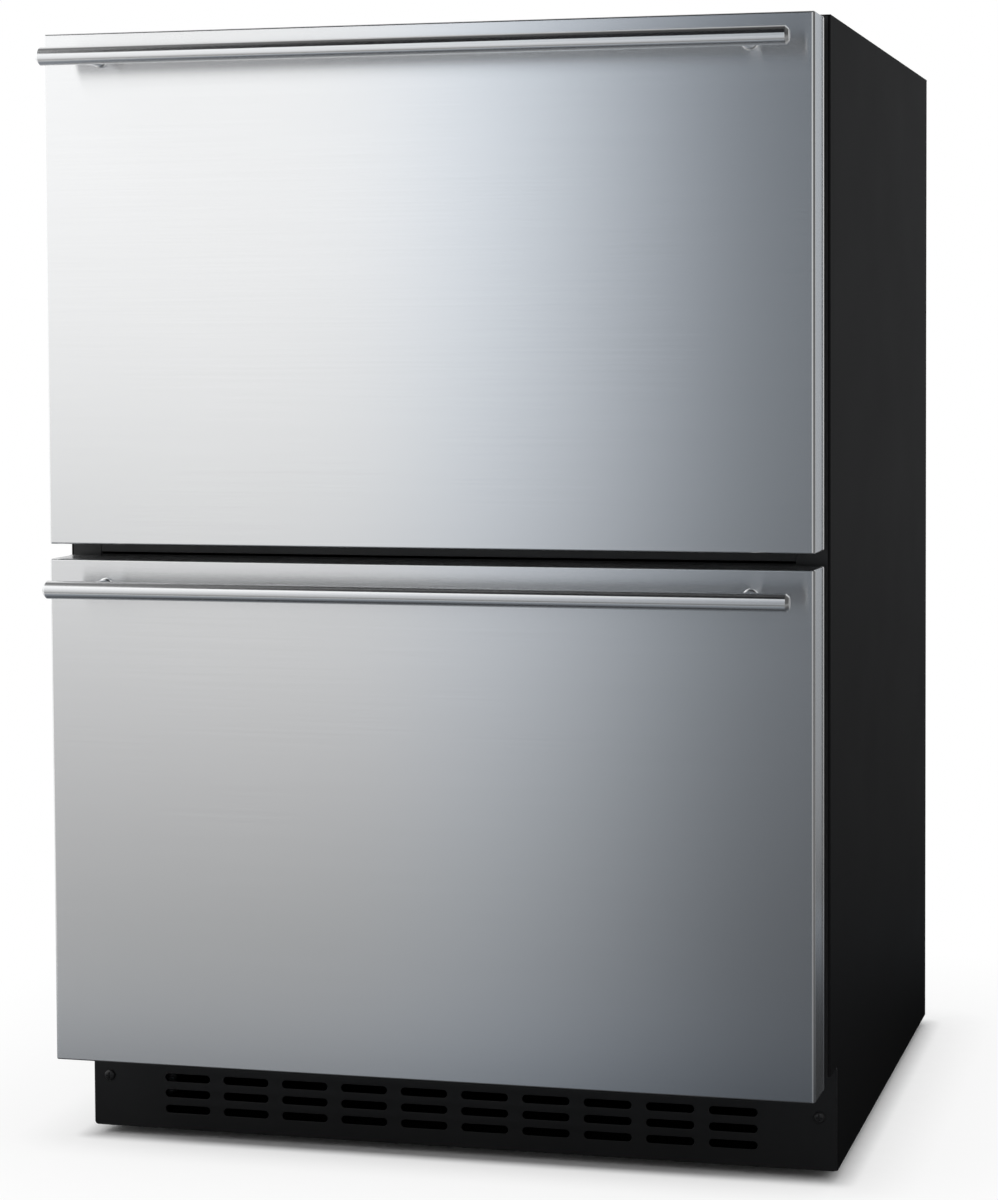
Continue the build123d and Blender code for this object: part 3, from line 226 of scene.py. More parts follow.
level_grain = (4, 4, 520)
ring_grain = (420, 8, 8)
# Each finish's edge factor lightens its edges, partly as wear and partly as a painted edge highlight.
finishes = {
    "stainless": (brushed_steel, dict(
        colour=(0.655, 0.66, 0.665), roughness=0.185, anisotropy=0.95, grain=level_grain)),
    "polished_steel": (brushed_steel, dict(
        colour=(0.66, 0.665, 0.67), roughness=0.18, anisotropy=0.85, grain=ring_grain, fleck=0.015,
        rough_swing=0.02)),
    "black_paint": (plain_surface, dict(
        colour=(0.0068, 0.0068, 0.0072), roughness=0.55, specular=0.015, patch=0.05, grain_scale=1400.0,
        grain_depth=0.10, edge_wear_and_highlight=1.5)),
    "zinc_steel": (plain_surface, dict(
        colour=(0.58, 0.60, 0.62), roughness=0.36, metallic=1.0, patch=0.08, patch_scale=40.0,
        grain_scale=500.0, edge_wear_and_highlight=1.15)),
    "galvanised": (spangled_zinc, dict(
        colour=(0.56, 0.575, 0.59), roughness=0.40, crystal=14 * mm)),
    "white_plastic": (plain_surface, dict(
        colour=(0.80, 0.805, 0.81), roughness=0.38, patch=0.015, grain_scale=1200.0, edge_wear_and_highlight=1.0)),
    "foam": (plain_surface, dict(
        colour=(0.78, 0.68, 0.45), roughness=0.85, specular=0.2, patch=0.10, grain_scale=420.0,
        grain_depth=0.5, edge_wear_and_highlight=1.0)),
    "seal_rubber": (plain_surface, dict(
        colour=(0.030, 0.030, 0.032), roughness=0.62, specular=0.3, grain_scale=1500.0, edge_wear_and_highlight=1.2)),
    "soft_rubber": (plain_surface, dict(
        colour=(0.022, 0.022, 0.022), roughness=0.75, specular=0.25, edge_wear_and_highlight=1.2)),
    "black_plastic": (plain_surface, dict(
        colour=(0.020, 0.020, 0.021), roughness=0.48, specular=0.4, grain_scale=1600.0, grain_depth=0.12,
        edge_wear_and_highlight=1.5)),
    "clear_bin": (plain_surface, dict(
        colour=(0.80, 0.82, 0.84), roughness=0.22, patch=0.01, edge_wear_and_highlight=1.0, coat=0.3)),
    "compressor_paint": (plain_surface, dict(
        colour=(0.018, 0.018, 0.019), roughness=0.32, patch=0.08, grain_scale=600.0, edge_wear_and_highlight=1.6)),
    "black_screw": (plain_surface, dict(
        colour=(0.030, 0.030, 0.031), roughness=0.40, metallic=0.6, edge_wear_and_highlight=1.8)),
    "coil_aluminium": (plain_surface, dict(
        colour=(0.72, 0.73, 0.74), roughness=0.34, metallic=1.0, edge_wear_and_highlight=1.05)),
    "copper": (plain_surface, dict(
        colour=(0.72, 0.38, 0.24), roughness=0.28, metallic=1.0, patch=0.10, patch_scale=30.0, edge_wear_and_highlight=1.1)),
    "motor_steel": (plain_surface, dict(
        colour=(0.42, 0.43, 0.45), roughness=0.40, metallic=1.0, patch=0.08, edge_wear_and_highlight=1.2)),
    "heater_glass": (plain_surface, dict(
        colour=(0.62, 0.64, 0.64), roughness=0.15, patch=0.02, edge_wear_and_highlight=1.0, coat=0.5)),
    "glide_plastic": (plain_surface, dict(
        colour=(0.62, 0.63, 0.64), roughness=0.40, patch=0.03, edge_wear_and_highlight=1.0)),
    "smooth_black": (plain_surface, dict(
        colour=(0.0080, 0.0080, 0.0085), roughness=0.34, specular=0.38, patch=0.05, grain_scale=1400.0,
        grain_depth=0.05, edge_wear_and_highlight=1.5)),
}
materials = {name: make(name, **look) for name, (make, look) in finishes.items()}
for node, shape in nodes.items():
    for place in shape.material_slots:
        place.material = materials[node_slot[node]]


# Camera

def make_camera(place, yaw, pitch, roll, lens, shift):
    """A camera turned by yaw, tilted by pitch and leaned by roll, in degrees."""
    yaw, pitch, roll = (math.radians(a) for a in (yaw, pitch, roll))
    right = Vector((math.cos(yaw), math.sin(yaw), 0))
    ahead = Vector((-math.sin(yaw), math.cos(yaw), 0))
    up = Vector((0, 0, 1))
    look = ahead * math.cos(pitch) + up * math.sin(pitch)
    head = up * math.cos(pitch) - ahead * math.sin(pitch)
    side = right * math.cos(roll) + head * math.sin(roll)
    top = head * math.cos(roll) - right * math.sin(roll)
    data = bpy.data.cameras.new("camera")
    data.lens = lens
    data.sensor_width = 36
    data.shift_x, data.shift_y = shift
    made = new_object("camera", data)
    made.matrix_world = Matrix((side, top, -look)).transposed().to_4x4()
    made.location = place
    bpy.context.scene.camera = made


make_camera(place=(0.636, -2.3285, 0.633), yaw=13.69, pitch=-2.75, roll=-0.22, lens=86.7,
            shift=(-0.0833, -0.10))


# Studio

cool = (0.93, 1.0, 1.09)
cold = (0.90, 1.0, 1.13)
soft_light, mirror_light = 0.55, 1.55
scrim_y, scrim_top, scrim_reach = -0.87, 1.09, 3.0
lamp_aim = (0, 0, 0.4)


def round_the_room(stops):
    """Stops given by bearing: degrees from -Y, the way the fronts face, towards -X."""
    return [((bearing + 180) / 360, value) for bearing, value in stops]


def up_the_room(stops):
    """Stops given by height above the horizon, in degrees."""
    return [((height + 90) / 180, value) for height, value in stops]


def over(span, stops):
    """Stops given by distance, in metres of the span that the ramp covers."""
    return [(distance / span, value) for distance, value in stops]


def make_world():
    """Soft even light, and for reflections a room that is bright at the left and dark at the right, with a
    dark ceiling and a dark strip ahead. Below the horizon its dark parts are paler."""
    world = bpy.data.worlds.new("studio")
    bpy.context.scene.world = world
    world.use_nodes = True
    g = Graph(world.node_tree)
    way = g.add("ShaderNodeTexCoord").outputs["Generated"]
    parts = g.add("ShaderNodeSeparateXYZ", {"Vector": way})
    bearing = g.math("ARCTAN2", g.math("MULTIPLY", parts.outputs["X"], -1.0),
                     g.math("MULTIPLY", parts.outputs["Y"], -1.0))
    turn = g.math("MULTIPLY_ADD", bearing, 0.5 / math.pi, 0.5)
    rise = g.math("MULTIPLY_ADD", g.math("ARCSINE", parts.outputs["Z"]), 1 / math.pi, 0.5)
    around = g.ramp(turn, round_the_room([
        (-180, 0.33), (-168, tint(cool, 0.33)), (-163, 0.60), (-154, 0.60), (-146, 0.40), (-126, 0.10),
        (-62, 0.08), (-48, 0.30), (-36, 0.62), (-12, 0.56), (-3, tint(cool, 0.42)), (6, tint(cold, 0.15)),
        (9, tint(cold, 0.13)), (11.2, tint(cold, 0.20)), (12.6, tint(cold, 0.35)), (14.5, tint(cool, 0.60)),
        (16.5, tint(cool, 0.86)), (18.5, 0.97), (20.5, 0.99), (23, 1.0), (140, 1.0), (160, 0.45),
        (180, 0.33)]))
    below = g.ramp(rise, up_the_room([(-14, 1.0), (2, 0.0)]))
    paler = g.add("ShaderNodeGamma", {"Color": around, "Gamma": 0.6})
    around = g.add("ShaderNodeMixRGB", {"Fac": below, "Color1": around, "Color2": paler})
    height = g.ramp(rise, up_the_room([
        (-90, 0.95), (0, 0.95), (8, 1.0), (46, 1.0), (58, 0.30), (72, 0.05), (90, 0.02)]))
    path = g.add("ShaderNodeLightPath")
    direct = g.math("MAXIMUM", path.outputs["Is Camera Ray"], path.outputs["Is Transmission Ray"])
    soft = g.add("ShaderNodeBackground", {"Color": (1, 1, 1, 1), "Strength": soft_light})
    white = g.add("ShaderNodeBackground", {"Color": (1, 1, 1, 1), "Strength": 1.0})
    mirror = g.add("ShaderNodeBackground", {"Color": g.multiply(around, height), "Strength": mirror_light})
    mix = g.add("ShaderNodeMixShader", {0: path.outputs["Is Glossy Ray"], 1: soft, 2: mirror})
    mix = g.add("ShaderNodeMixShader", {0: direct, 1: mix, 2: white})
    g.add("ShaderNodeOutputWorld", {"Surface": mix})


def make_lamp(name, place, size, power):
    """A soft lamp aimed at the cabinet, which reflections don't see."""
    data = bpy.data.lights.new(name, "AREA")
    data.shape = "RECTANGLE"
    data.size, data.size_y = size
    data.energy = power
    made = new_object(name, data)
    made.location = place
    made.rotation_euler = (Vector(lamp_aim) - Vector(place)).to_track_quat("-Z", "Y").to_euler()
    made.visible_glossy = False
    made.visible_camera = False
    made.visible_transmission = False


def make_floor():
    """A white floor that keeps a soft shadow; where metal mirrors it, it carries a painted shadow that
    deepens towards the cabinet.
    """
    half, reach = 30.0, 4.0
    corners = [(-half, -half, 0), (half, -half, 0), (half, half, 0), (-half, half, 0)]
    mesh = bpy.data.meshes.new("floor")
    mesh.from_pydata(corners, [], [(0, 1, 2, 3)])
    made = new_object("floor", mesh)
    surface, g = new_material("floor")
    path = g.add("ShaderNodeLightPath")
    place = g.add("ShaderNodeTexCoord").outputs["Object"]
    back_y = cad_box[1][1]
    middle = (0, (kick_face_y + back_y) / 2, 0)
    foot = (half_width, (back_y - kick_face_y) / 2, 0)
    beside = g.vector("SUBTRACT", g.vector("ABSOLUTE", g.vector("SUBTRACT", place, middle)), foot)
    gap = g.vector("LENGTH", g.vector("MAXIMUM", beside, (0, 0, 0))).outputs["Value"]
    far = g.math("DIVIDE", gap, reach)
    away = g.ramp(far, over(reach, [(0.0, 0.0), (0.01, 0.62), (0.06, 0.85), (0.30, 1.0)]))
    # Painted shadow: what metal mirrors of the floor darkens towards the cabinet.
    dim = g.ramp(far, over(reach, [
        (0.0, 0.02), (0.07, 0.03), (0.20, tint(cool, 0.10)), (0.44, tint(cool, 0.28)), (0.70, 0.52),
        (1.1, 0.85), (2.0, 1.0)]))
    grain = g.ramp(g.noise(60.0), [(0.3, 0.90), (0.7, 0.93)])
    matt = g.add("ShaderNodeBsdfDiffuse", {"Color": grain})
    white = g.add("ShaderNodeEmission", {"Color": (1, 1, 1, 1), "Strength": 1.0})
    seen = g.math("MAXIMUM", path.outputs["Is Camera Ray"], path.outputs["Is Transmission Ray"])
    paper = g.add("ShaderNodeMixShader", {0: g.math("MULTIPLY", seen, away), 1: matt, 2: white})
    dimmed = g.add("ShaderNodeBsdfTransparent", {"Color": dim})
    mix = g.add("ShaderNodeMixShader", {0: path.outputs["Is Glossy Ray"], 1: paper, 2: dimmed})
    g.add("ShaderNodeOutputMaterial", {"Surface": mix})
    mesh.materials.append(surface)


def add_prop(name, mesh, surface):
    """A studio board that takes part in reflections alone."""
    made = new_object(name, mesh)
    mesh.materials.append(surface)
    made.visible_camera = False
    made.visible_diffuse = False
    made.visible_transmission = False
    made.visible_shadow = False


def make_scrim():
    """A shaded gauze before the fronts, and one behind, that only reflections see. Both deepen towards the
    floor."""
    corners = ((-scrim_reach, 0), (scrim_reach, 0), (scrim_reach, scrim_top), (-scrim_reach, scrim_top))
    points = [(x, y, z) for y in (scrim_y, -scrim_y) for x, z in corners]
    mesh = bpy.data.meshes.new("scrim")
    mesh.from_pydata(points, [], [(0, 1, 2, 3), (4, 5, 6, 7)])
    surface, g = new_material("scrim")
    place = g.add("ShaderNodeSeparateXYZ", {"Vector": g.add("ShaderNodeTexCoord").outputs["Object"]})
    level = g.math("DIVIDE", place.outputs["Z"], scrim_top)
    shade = g.ramp(level, over(scrim_top, [
        (0.0, 0.44), (0.09, 0.46), (0.19, 0.51), (0.32, 0.61), (0.44, 0.73), (0.56, 0.83), (0.72, 0.93),
        (0.90, 1.0)]))
    g.add("ShaderNodeOutputMaterial", {"Surface": g.add("ShaderNodeBsdfTransparent", {"Color": shade})})
    add_prop("scrim", mesh, surface)


def make_flag():
    """A dark board above the front scrim, its left edge leaning outwards, that only reflections see."""
    top = 3.0
    edge = [(-0.50, scrim_top), (-0.60, 1.20), (-0.75, 1.50), (-0.90, 2.20), (-1.00, top)]
    outline = [(scrim_reach, scrim_top), *edge, (scrim_reach, top)]
    mesh = bpy.data.meshes.new("flag")
    mesh.from_pydata([(x, scrim_y, z) for x, z in outline], [], [tuple(range(len(outline)))])
    surface, g = new_material("flag")
    dark = g.add("ShaderNodeEmission", {"Color": (0.014, 0.015, 0.017, 1), "Strength": 1.0})
    g.add("ShaderNodeOutputMaterial", {"Surface": dark})
    add_prop("flag", mesh, surface)


make_world()
make_floor()
make_scrim()
make_flag()
make_lamp("key_lamp", place=(-2.6, -2.6, 2.6), size=(2.4, 2.4), power=60)
make_lamp("fill_lamp", place=(2.8, -1.6, 2.2), size=(2.0, 2.0), power=25)
make_lamp("back_lamp", place=(0.5, 3.0, 2.6), size=(2.4, 2.0), power=40)
bpy.context.scene.view_settings.view_transform = "Standard"


# Pieces and meshes

def add_piece(name, body, slot, mesh, replaced=(), finish=None):
    """Puts a finished mesh in the scene, riding on its body. A finish stands in for the slot's own."""
    made = new_object(name, mesh)
    mesh.materials.clear()
    mesh.materials.append(materials[finish or slot])
    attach(made, body)
    if replaced:
        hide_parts(*replaced)
    even = made.modifiers.new("even_shading", "WEIGHTED_NORMAL")
    even.keep_sharp = True


def finish_mesh(bm, name, smooth_angle=40):
    bmesh.ops.recalc_face_normals(bm, faces=bm.faces)
    mesh = bpy.data.meshes.new(name)
    bm.to_mesh(mesh)
    bm.free()
    mesh.shade_smooth()
    mesh.set_sharp_from_angle(angle=math.radians(smooth_angle))
    return mesh


def joined(parts, name, smooth_angle=40):
    """One mesh from several part meshes."""
    bm = bmesh.new()
    for part in parts:
        bm.from_mesh(part)
        bpy.data.meshes.remove(part)
    return finish_mesh(bm, name, smooth_angle)


def boolean(first, second, operation, name, smooth_angle=40):
    """One mesh cut from, or joined to, another."""
    base, tool = new_object(f"{name}_base", first), new_object(f"{name}_tool", second)
    cut = base.modifiers.new("cut", "BOOLEAN")
    cut.operation = operation
    cut.solver = "EXACT"
    cut.object = tool
    graph = bpy.context.evaluated_depsgraph_get()
    mesh = bpy.data.meshes.new_from_object(base.evaluated_get(graph))
    for used, old in ((base, first), (tool, second)):
        bpy.data.objects.remove(used)
        bpy.data.meshes.remove(old)
    return joined([mesh], name, smooth_angle)


def sheet_uvs(mesh):
    """Lays the first texture axis across the grain, so that brushed steel smears the right way."""
    level = 0.75
    layer = mesh.uv_layers.new(name="grain")
    for face in mesh.polygons:
        for loop in face.loop_indices:
            x, y, z = mesh.vertices[mesh.loops[loop].vertex_index].co
            layer.data[loop].uv = (y, x) if abs(face.normal.z) > level else (z, x + y)


def rod_uvs(mesh, centre):
    """The first texture axis runs along the rod, so that its ring-wise polish smears along it. A face that
    ends at the half turn keeps all its corners on its own side of it."""
    metres_per_radian, hair = 0.01, 1e-4
    layer = mesh.uv_layers.new(name="grain")
    for face in mesh.polygons:
        for loop in face.loop_indices:
            x, y, z = mesh.vertices[mesh.loops[loop].vertex_index].co
            turn = math.atan2(z - centre[2], y - centre[1])
            if turn < -math.pi + hair and face.center.z > centre[2]:
                turn += 2 * math.pi
            layer.data[loop].uv = (x, turn * metres_per_radian)


def box_mesh(low, high, radius, name, segments=2):
    """A box between two corners with every edge rounded."""
    bm = bmesh.new()
    bmesh.ops.create_cube(bm, size=1.0)
    for v in bm.verts:
        v.co = Vector([low[i] if v.co[i] < 0 else high[i] for i in range(3)])
    bmesh.ops.bevel(bm, geom=list(bm.edges), offset=radius, segments=segments, profile=0.5, affect="EDGES",
                    clamp_overlap=True)
    return finish_mesh(bm, name)


def bridge(bm, rings):
    """Faces from each ring of corners to the next."""
    for first, second in zip(rings, rings[1:]):
        for i in range(len(first)):
            j = (i + 1) % len(first)
            bm.faces.new((first[i], first[j], second[j], second[i]))


def loft(rings, name, smooth_angle=40):
    """A closed solid through rings of equal length, capped at both ends."""
    bm = bmesh.new()
    made = [[bm.verts.new(p) for p in ring] for ring in rings]
    bridge(bm, made)
    bm.faces.new(reversed(made[0]))
    bm.faces.new(made[-1])
    return finish_mesh(bm, name, smooth_angle)


def spun(profile, segments, centre, axis, name, smooth_angle=40):
    """A turned solid: profile is (distance along the axis, radius), starting and ending on the axis."""
    bm = bmesh.new()
    x, y, z = Vector((1, 0, 0)), Vector((0, 1, 0)), Vector((0, 0, 1))
    along, side, other = {"x": (x, y, z), "y": (y, z, x), "z": (z, x, y)}[axis]
    turns = [2 * math.pi * i / segments for i in range(segments)]
    rays = [side * math.cos(turn) + other * math.sin(turn) for turn in turns]
    rings = []
    for reach, radius in profile[1:-1]:
        middle = Vector(centre) + along * reach
        rings.append([bm.verts.new(middle + ray * radius) for ray in rays])
    bridge(bm, rings)
    for ring, reach in ((rings[0], profile[0][0]), (rings[-1], profile[-1][0])):
        tip = bm.verts.new(Vector(centre) + along * reach)
        for i in range(segments):
            bm.faces.new((ring[i], ring[(i + 1) % segments], tip))
    return finish_mesh(bm, name, smooth_angle)


def rounded_outline(half_x, half_y, radius, steps=8):
    """Points round a rectangle with rounded corners, about the origin."""
    points = []
    for cx, cy, start in ((1, 1, 0), (-1, 1, 90), (-1, -1, 180), (1, -1, 270)):
        for i in range(steps + 1):
            a = math.radians(start + 90 * i / steps)
            points.append((cx * (half_x - radius) + radius * math.cos(a),
                           cy * (half_y - radius) + radius * math.sin(a)))
    return points


def bent_outline(line, radius, sheet, steps=5):
    """The closed outline of a thin sheet that follows a line, turning left through a right angle at each
    inner point of it. The sheet's outer side lies on the line."""
    points = [Vector(p) for p in line]
    outer, inner = [], []
    for i, here in enumerate(points):
        inside = 0 < i < len(points) - 1
        way = (here - points[i - 1] if i else points[1] - here).normalized()
        left = Vector((-way.y, way.x))
        if not inside:
            outer.append(here)
            inner.append(here + left * sheet)
            continue
        centre = here + (left - way) * radius
        start = math.atan2(-left.y, -left.x)
        for k in range(steps + 1):
            a = start + math.pi / 2 * k / steps
            ray = Vector((math.cos(a), math.sin(a)))
            outer.append(centre + ray * radius)
            inner.append(centre + ray * (radius - sheet))
    return [tuple(p) for p in outer] + [tuple(p) for p in reversed(inner)]


def prism(outline, axis, low, high, name, smooth_angle=40):
    """A flat outline pushed along an axis. Outlines are in (y, z), (x, z) or (x, y)."""
    place = {"x": lambda p, t: (t, p[0], p[1]), "y": lambda p, t: (p[0], t, p[1]),
             "z": lambda p, t: (p[0], p[1], t)}[axis]
    return loft([[place(p, low) for p in outline], [place(p, high) for p in outline]], name, smooth_angle)


def flat_plate(outer, holes, thickness, edge, name):
    """A plate in the XZ plane from y = 0 to its thickness, with smooth holes and softened edges."""
    curve = bpy.data.curves.new(name, "CURVE")
    curve.dimensions = "2D"
    curve.fill_mode = "BOTH"
    curve.extrude = thickness / 2 - edge
    curve.bevel_depth = edge
    curve.bevel_resolution = 1
    curve.offset = -edge
    for points in [outer, *holes]:
        spline = curve.splines.new("POLY")
        spline.points.add(len(points) - 1)
        for point, (x, z) in zip(spline.points, points):
            point.co = (x, z, 0, 1)
        spline.use_cyclic_u = True
    carrier = bpy.data.objects.new(name, curve)
    mesh = bpy.data.meshes.new_from_object(carrier)
    bpy.data.objects.remove(carrier)
    bpy.data.curves.remove(curve)
    upright = Matrix(((1, 0, 0, 0), (0, 0, 1, thickness / 2), (0, 1, 0, 0), (0, 0, 0, 1)))
    mesh.transform(upright)
    bm = bmesh.new()
    bm.from_mesh(mesh)
    bmesh.ops.remove_doubles(bm, verts=bm.verts, dist=1e-6)
    bpy.data.meshes.remove(mesh)
    return finish_mesh(bm, name, 30)


def frame_loft(x_half, low_z, high_z, profile, name):
    """A mitred frame: profile points are (inset from the outer rectangle, y), and close on themselves."""
    bm = bmesh.new()
    rings = []
    for inset, y in profile:
        x, z0, z1 = x_half - inset, low_z + inset, high_z - inset
        rings.append([bm.verts.new(p) for p in ((-x, y, z0), (x, y, z0), (x, y, z1), (-x, y, z1))])
    bridge(bm, [*rings, rings[0]])
    return finish_mesh(bm, name, 35)


# Drawer fronts

def make_front_skin(drawer):
    """The folded stainless tray: rounded front folds, a hem along the returns and a lip behind."""
    low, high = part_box(f"{drawer}_front_skin")
    fold, flatter, skin, lip = 2.6 * mm, 0.55, 0.9 * mm, 12 * mm
    hem, hem_width, hem_slope = 0.4 * mm, 5 * mm, 4.7 * mm
    corner, edge, steps = 1.8 * mm, 0.3 * mm, 6
    stations = []
    for k in range(steps + 1):
        a = math.pi / 2 * k / steps
        stations.append((hem + fold * (1 - math.sin(a)), low.y + fold * (1 - math.cos(a))))
    stations += [(hem, high.y - hem_width), (0, high.y - hem_width + hem_slope), (0, high.y - edge),
                 (edge, high.y), (lip, high.y), (lip, high.y - skin), (hem + skin, high.y - skin),
                 (hem + skin, low.y + skin)]
    middle_x, middle_z = (low.x + high.x) / 2, (low.z + high.z) / 2
    rings = []
    for i, (inset, y) in enumerate(stations):
        inset_z = hem + (inset - hem) * flatter if i <= steps else inset
        outline = rounded_outline((high.x - low.x) / 2 - inset, (high.z - low.z) / 2 - inset_z,
                                  max(corner - inset, edge), 4)
        rings.append([(x + middle_x, y, z + middle_z) for x, z in outline])
    mesh = loft(rings, f"{drawer}_front_sheet", 30)
    sheet_uvs(mesh)
    add_piece(f"{drawer}_front_sheet", f"{drawer}_drawer", "stainless", mesh, [f"{drawer}_front_skin"])


def chamfered_rod(half, radius, chamfer, soft):
    """A rod's profile with a chamfer at each end, its two edges just broken."""
    slant = soft * math.sqrt(0.5)
    left = [(-half, 0.0), (-half, radius - chamfer - soft), (-half + slant, radius - chamfer + slant),
            (-half + chamfer - slant, radius - slant), (-half + chamfer + soft, radius)]
    return left + [(-p, r) for p, r in reversed(left)]


def make_handle(drawer):
    """The bar: a polished rod with a chamfer at each end."""
    low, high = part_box(f"{drawer}_handle_bar")
    centre = (low + high) / 2
    profile = chamfered_rod((high.x - low.x) / 2, (high.z - low.z) / 2, chamfer=2.4 * mm, soft=0.15 * mm)
    mesh = spun(profile, 96, centre, "x", f"{drawer}_handle_rod", 25)
    rod_uvs(mesh, centre)
    add_piece(f"{drawer}_handle_rod", f"{drawer}_drawer", "polished_steel", mesh, [f"{drawer}_handle_bar"])


def make_posts(drawer):
    """Turned posts with a small foot ring against the front."""
    low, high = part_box(f"{drawer}_handle_posts")
    radius = (high.z - low.z) / 2
    centre_z = (low.z + high.z) / 2
    length = high.y - low.y
    ring, flare, edge = 2.2 * mm, 1.1 * mm, 0.2 * mm
    profile = [(0, 0), (0, radius - edge), (1.5 * edge, radius), (length - ring, radius),
               (length - 0.86 * ring, radius + edge), (length - 0.68 * ring, radius + flare),
               (length - 0.14 * ring, radius + flare + edge / 2), (length, radius + flare - edge / 2),
               (length, 0)]
    parts = [spun(profile, 40, (x, low.y, centre_z), "y", "post") for x in (low.x + radius, high.x - radius)]
    mesh = joined(parts, f"{drawer}_handle_feet")
    rod_uvs(mesh, (0, 0, centre_z))
    add_piece(f"{drawer}_handle_feet", f"{drawer}_drawer", "polished_steel", mesh,
              [f"{drawer}_handle_posts"])


def make_gasket(drawer):
    """The seal: a flat foot, a folding bellows and a plump magnet strip."""
    low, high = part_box(f"{drawer}_gasket")
    deep = high.y - low.y
    width = 17 * mm
    side = [(0.0, 0.0), (0.0, 0.10), (0.05, 0.17), (0.16, 0.19), (0.20, 0.26), (0.12, 0.33), (0.21, 0.42),
            (0.10, 0.47), (0.06, 0.53), (0.06, 0.86), (0.10, 0.96), (0.18, 1.0)]
    profile = [(u * width, low.y + v * deep) for u, v in side]
    profile += [((1 - u) * width, low.y + v * deep) for u, v in reversed(side)]
    mesh = frame_loft(high.x, low.z, high.z, profile, f"{drawer}_seal")
    add_piece(f"{drawer}_seal", f"{drawer}_drawer", "seal_rubber", mesh, [f"{drawer}_gasket"])


# Drawer bins

def tub(half_x, y0, y1, top, bottom, corner, floor_radius, name):
    """The solid outside or inside of a tapered tub, rounded into its floor."""
    middle_y, half_y = (y0 + y1) / 2, (y1 - y0) / 2
    steps, least_corner = 6, 4 * mm
    stations = [(top, 0), (bottom + floor_radius, 0)]
    for k in range(1, steps + 1):
        a = math.pi / 2 * k / steps
        stations.append((bottom + floor_radius * (1 - math.sin(a)), floor_radius * (1 - math.cos(a))))
    rings = []
    for z, pull in stations:
        shrink = (top - z) * bin_slope + pull
        outline = rounded_outline(half_x - shrink, half_y - shrink, max(corner - pull * 0.6, least_corner))
        rings.append([(x, y + middle_y, z) for x, y in outline])
    return loft(rings, name)


def make_bin(drawer):
    """The moulded bin: rounded walls and floor, a thick rolled rim, and a step over the machine bay."""
    low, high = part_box(f"{drawer}_bin")
    wall, rim = 2.5 * mm, 12 * mm
    corner, floor_radius, overlap = 22 * mm, 14 * mm, 14 * mm
    step_z, step_y = 327 * mm, 74.5 * mm
    half_x, top = high.x - rim, high.z
    drop = (top - step_z) * bin_slope

    def form(inset, top_z, name):
        """The bin as one solid, drawn in by an inset: none for its outside, the wall for its room."""
        x, y0, y1 = half_x - inset, low.y + inset, high.y - inset
        rounds = (corner - inset, floor_radius - inset)
        if drawer == "upper":
            return tub(x, y0, y1, top_z, low.z + inset, *rounds, name)
        shelf = tub(x, y0, y1, top_z, step_z + inset, *rounds, "shelf")
        well_top = step_z + inset + overlap
        well = tub(x - drop, y0 + drop, step_y - inset, well_top, low.z + inset, *rounds, "well")
        return boolean(shelf, well, "UNION", name)

    middle_y, half_y = (low.y + high.y) / 2, (high.y - low.y) / 2
    lip = []
    for fall, pull in ((3.0, 0.6), (2.4, 0.0), (0.8, 0.0), (0.2, 0.3), (0.0, 1.0)):
        outline = rounded_outline(high.x - pull * mm, half_y - pull * mm, corner)
        lip.append([(x, y + middle_y, top - fall * mm) for x, y in outline])
    shell = boolean(form(0, top, "outside"), loft(lip, "lip"), "UNION", "rimmed")
    mesh = boolean(shell, form(wall, top + mm, "room"), "DIFFERENCE", f"{drawer}_tub", 35)
    add_piece(f"{drawer}_tub", f"{drawer}_drawer", "clear_bin", mesh, [f"{drawer}_bin"])


# Cabinet front

def make_kick_plate():
    """The grille: smooth round-ended slots, softened edges, and a top return."""
    low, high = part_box("kick_plate")
    edge, corner = 0.35 * mm, 3 * mm
    rows, columns, pitch_x, pitch_z, first_z = 4, 10, 49 * mm, 12.6 * mm, 24 * mm
    slot_x, slot_z = 37.6 * mm / 2, 6.3 * mm / 2
    # A hair short of a half round, so that no two points of a slot's outline meet.
    slot_round = 0.999 * slot_z
    holes = []
    for row in range(rows):
        for column in range(columns):
            x = (column - (columns - 1) / 2) * pitch_x
            outline = rounded_outline(slot_x, slot_z, slot_round, 7)
            holes.append([(px + x, pz + first_z + row * pitch_z) for px, pz in outline])
    middle_z = (low.z + high.z) / 2
    outer = [(x, z + middle_z) for x, z in rounded_outline(high.x, (high.z - low.z) / 2, corner, 5)]
    face = flat_plate(outer, holes, kick_sheet, edge, "face")
    face.transform(Matrix.Translation((0, low.y, 0)))
    inside = half_width - flange_width
    top = box_mesh((-inside, low.y + kick_sheet, high.z - kick_sheet), (inside, high.y, high.z), edge, "top")
    mesh = joined([face, top], "kick_grille", 30)
    add_piece("kick_grille", "cabinet", "black_paint", mesh, ["kick_plate"], "smooth_black")


def cross_head(x, y, z, radius, rise, depth, facing):
    """A low domed screw head with a cross recess, and its shank behind. It faces along Y, one way or the
    other, and y is where it meets the sheet."""
    top = y + facing * rise
    profile = [(0, 0), (0, radius * 0.45), (0.11 * rise, radius * 0.72), (0.36 * rise, radius * 0.92),
               (0.72 * rise, radius), (rise, radius), (rise, radius * 0.45), (rise + depth, radius * 0.45),
               (rise + depth, 0)]
    head = spun([(-facing * t, r) for t, r in profile], 32, (x, top, z), "y", "head", 35)
    long, short, deep, edge = 0.56 * radius, 0.13 * radius, 0.55 * rise, 0.1 * mm
    y0, y1 = sorted((top + facing * mm, top - facing * deep))
    for long_x, long_z in ((long, short), (short, long)):
        cross = box_mesh((x - long_x, y0, z - long_z), (x + long_x, y1, z + long_z), edge, "cross", 1)
        head = boolean(head, cross, "DIFFERENCE", "head", 35)
    return head


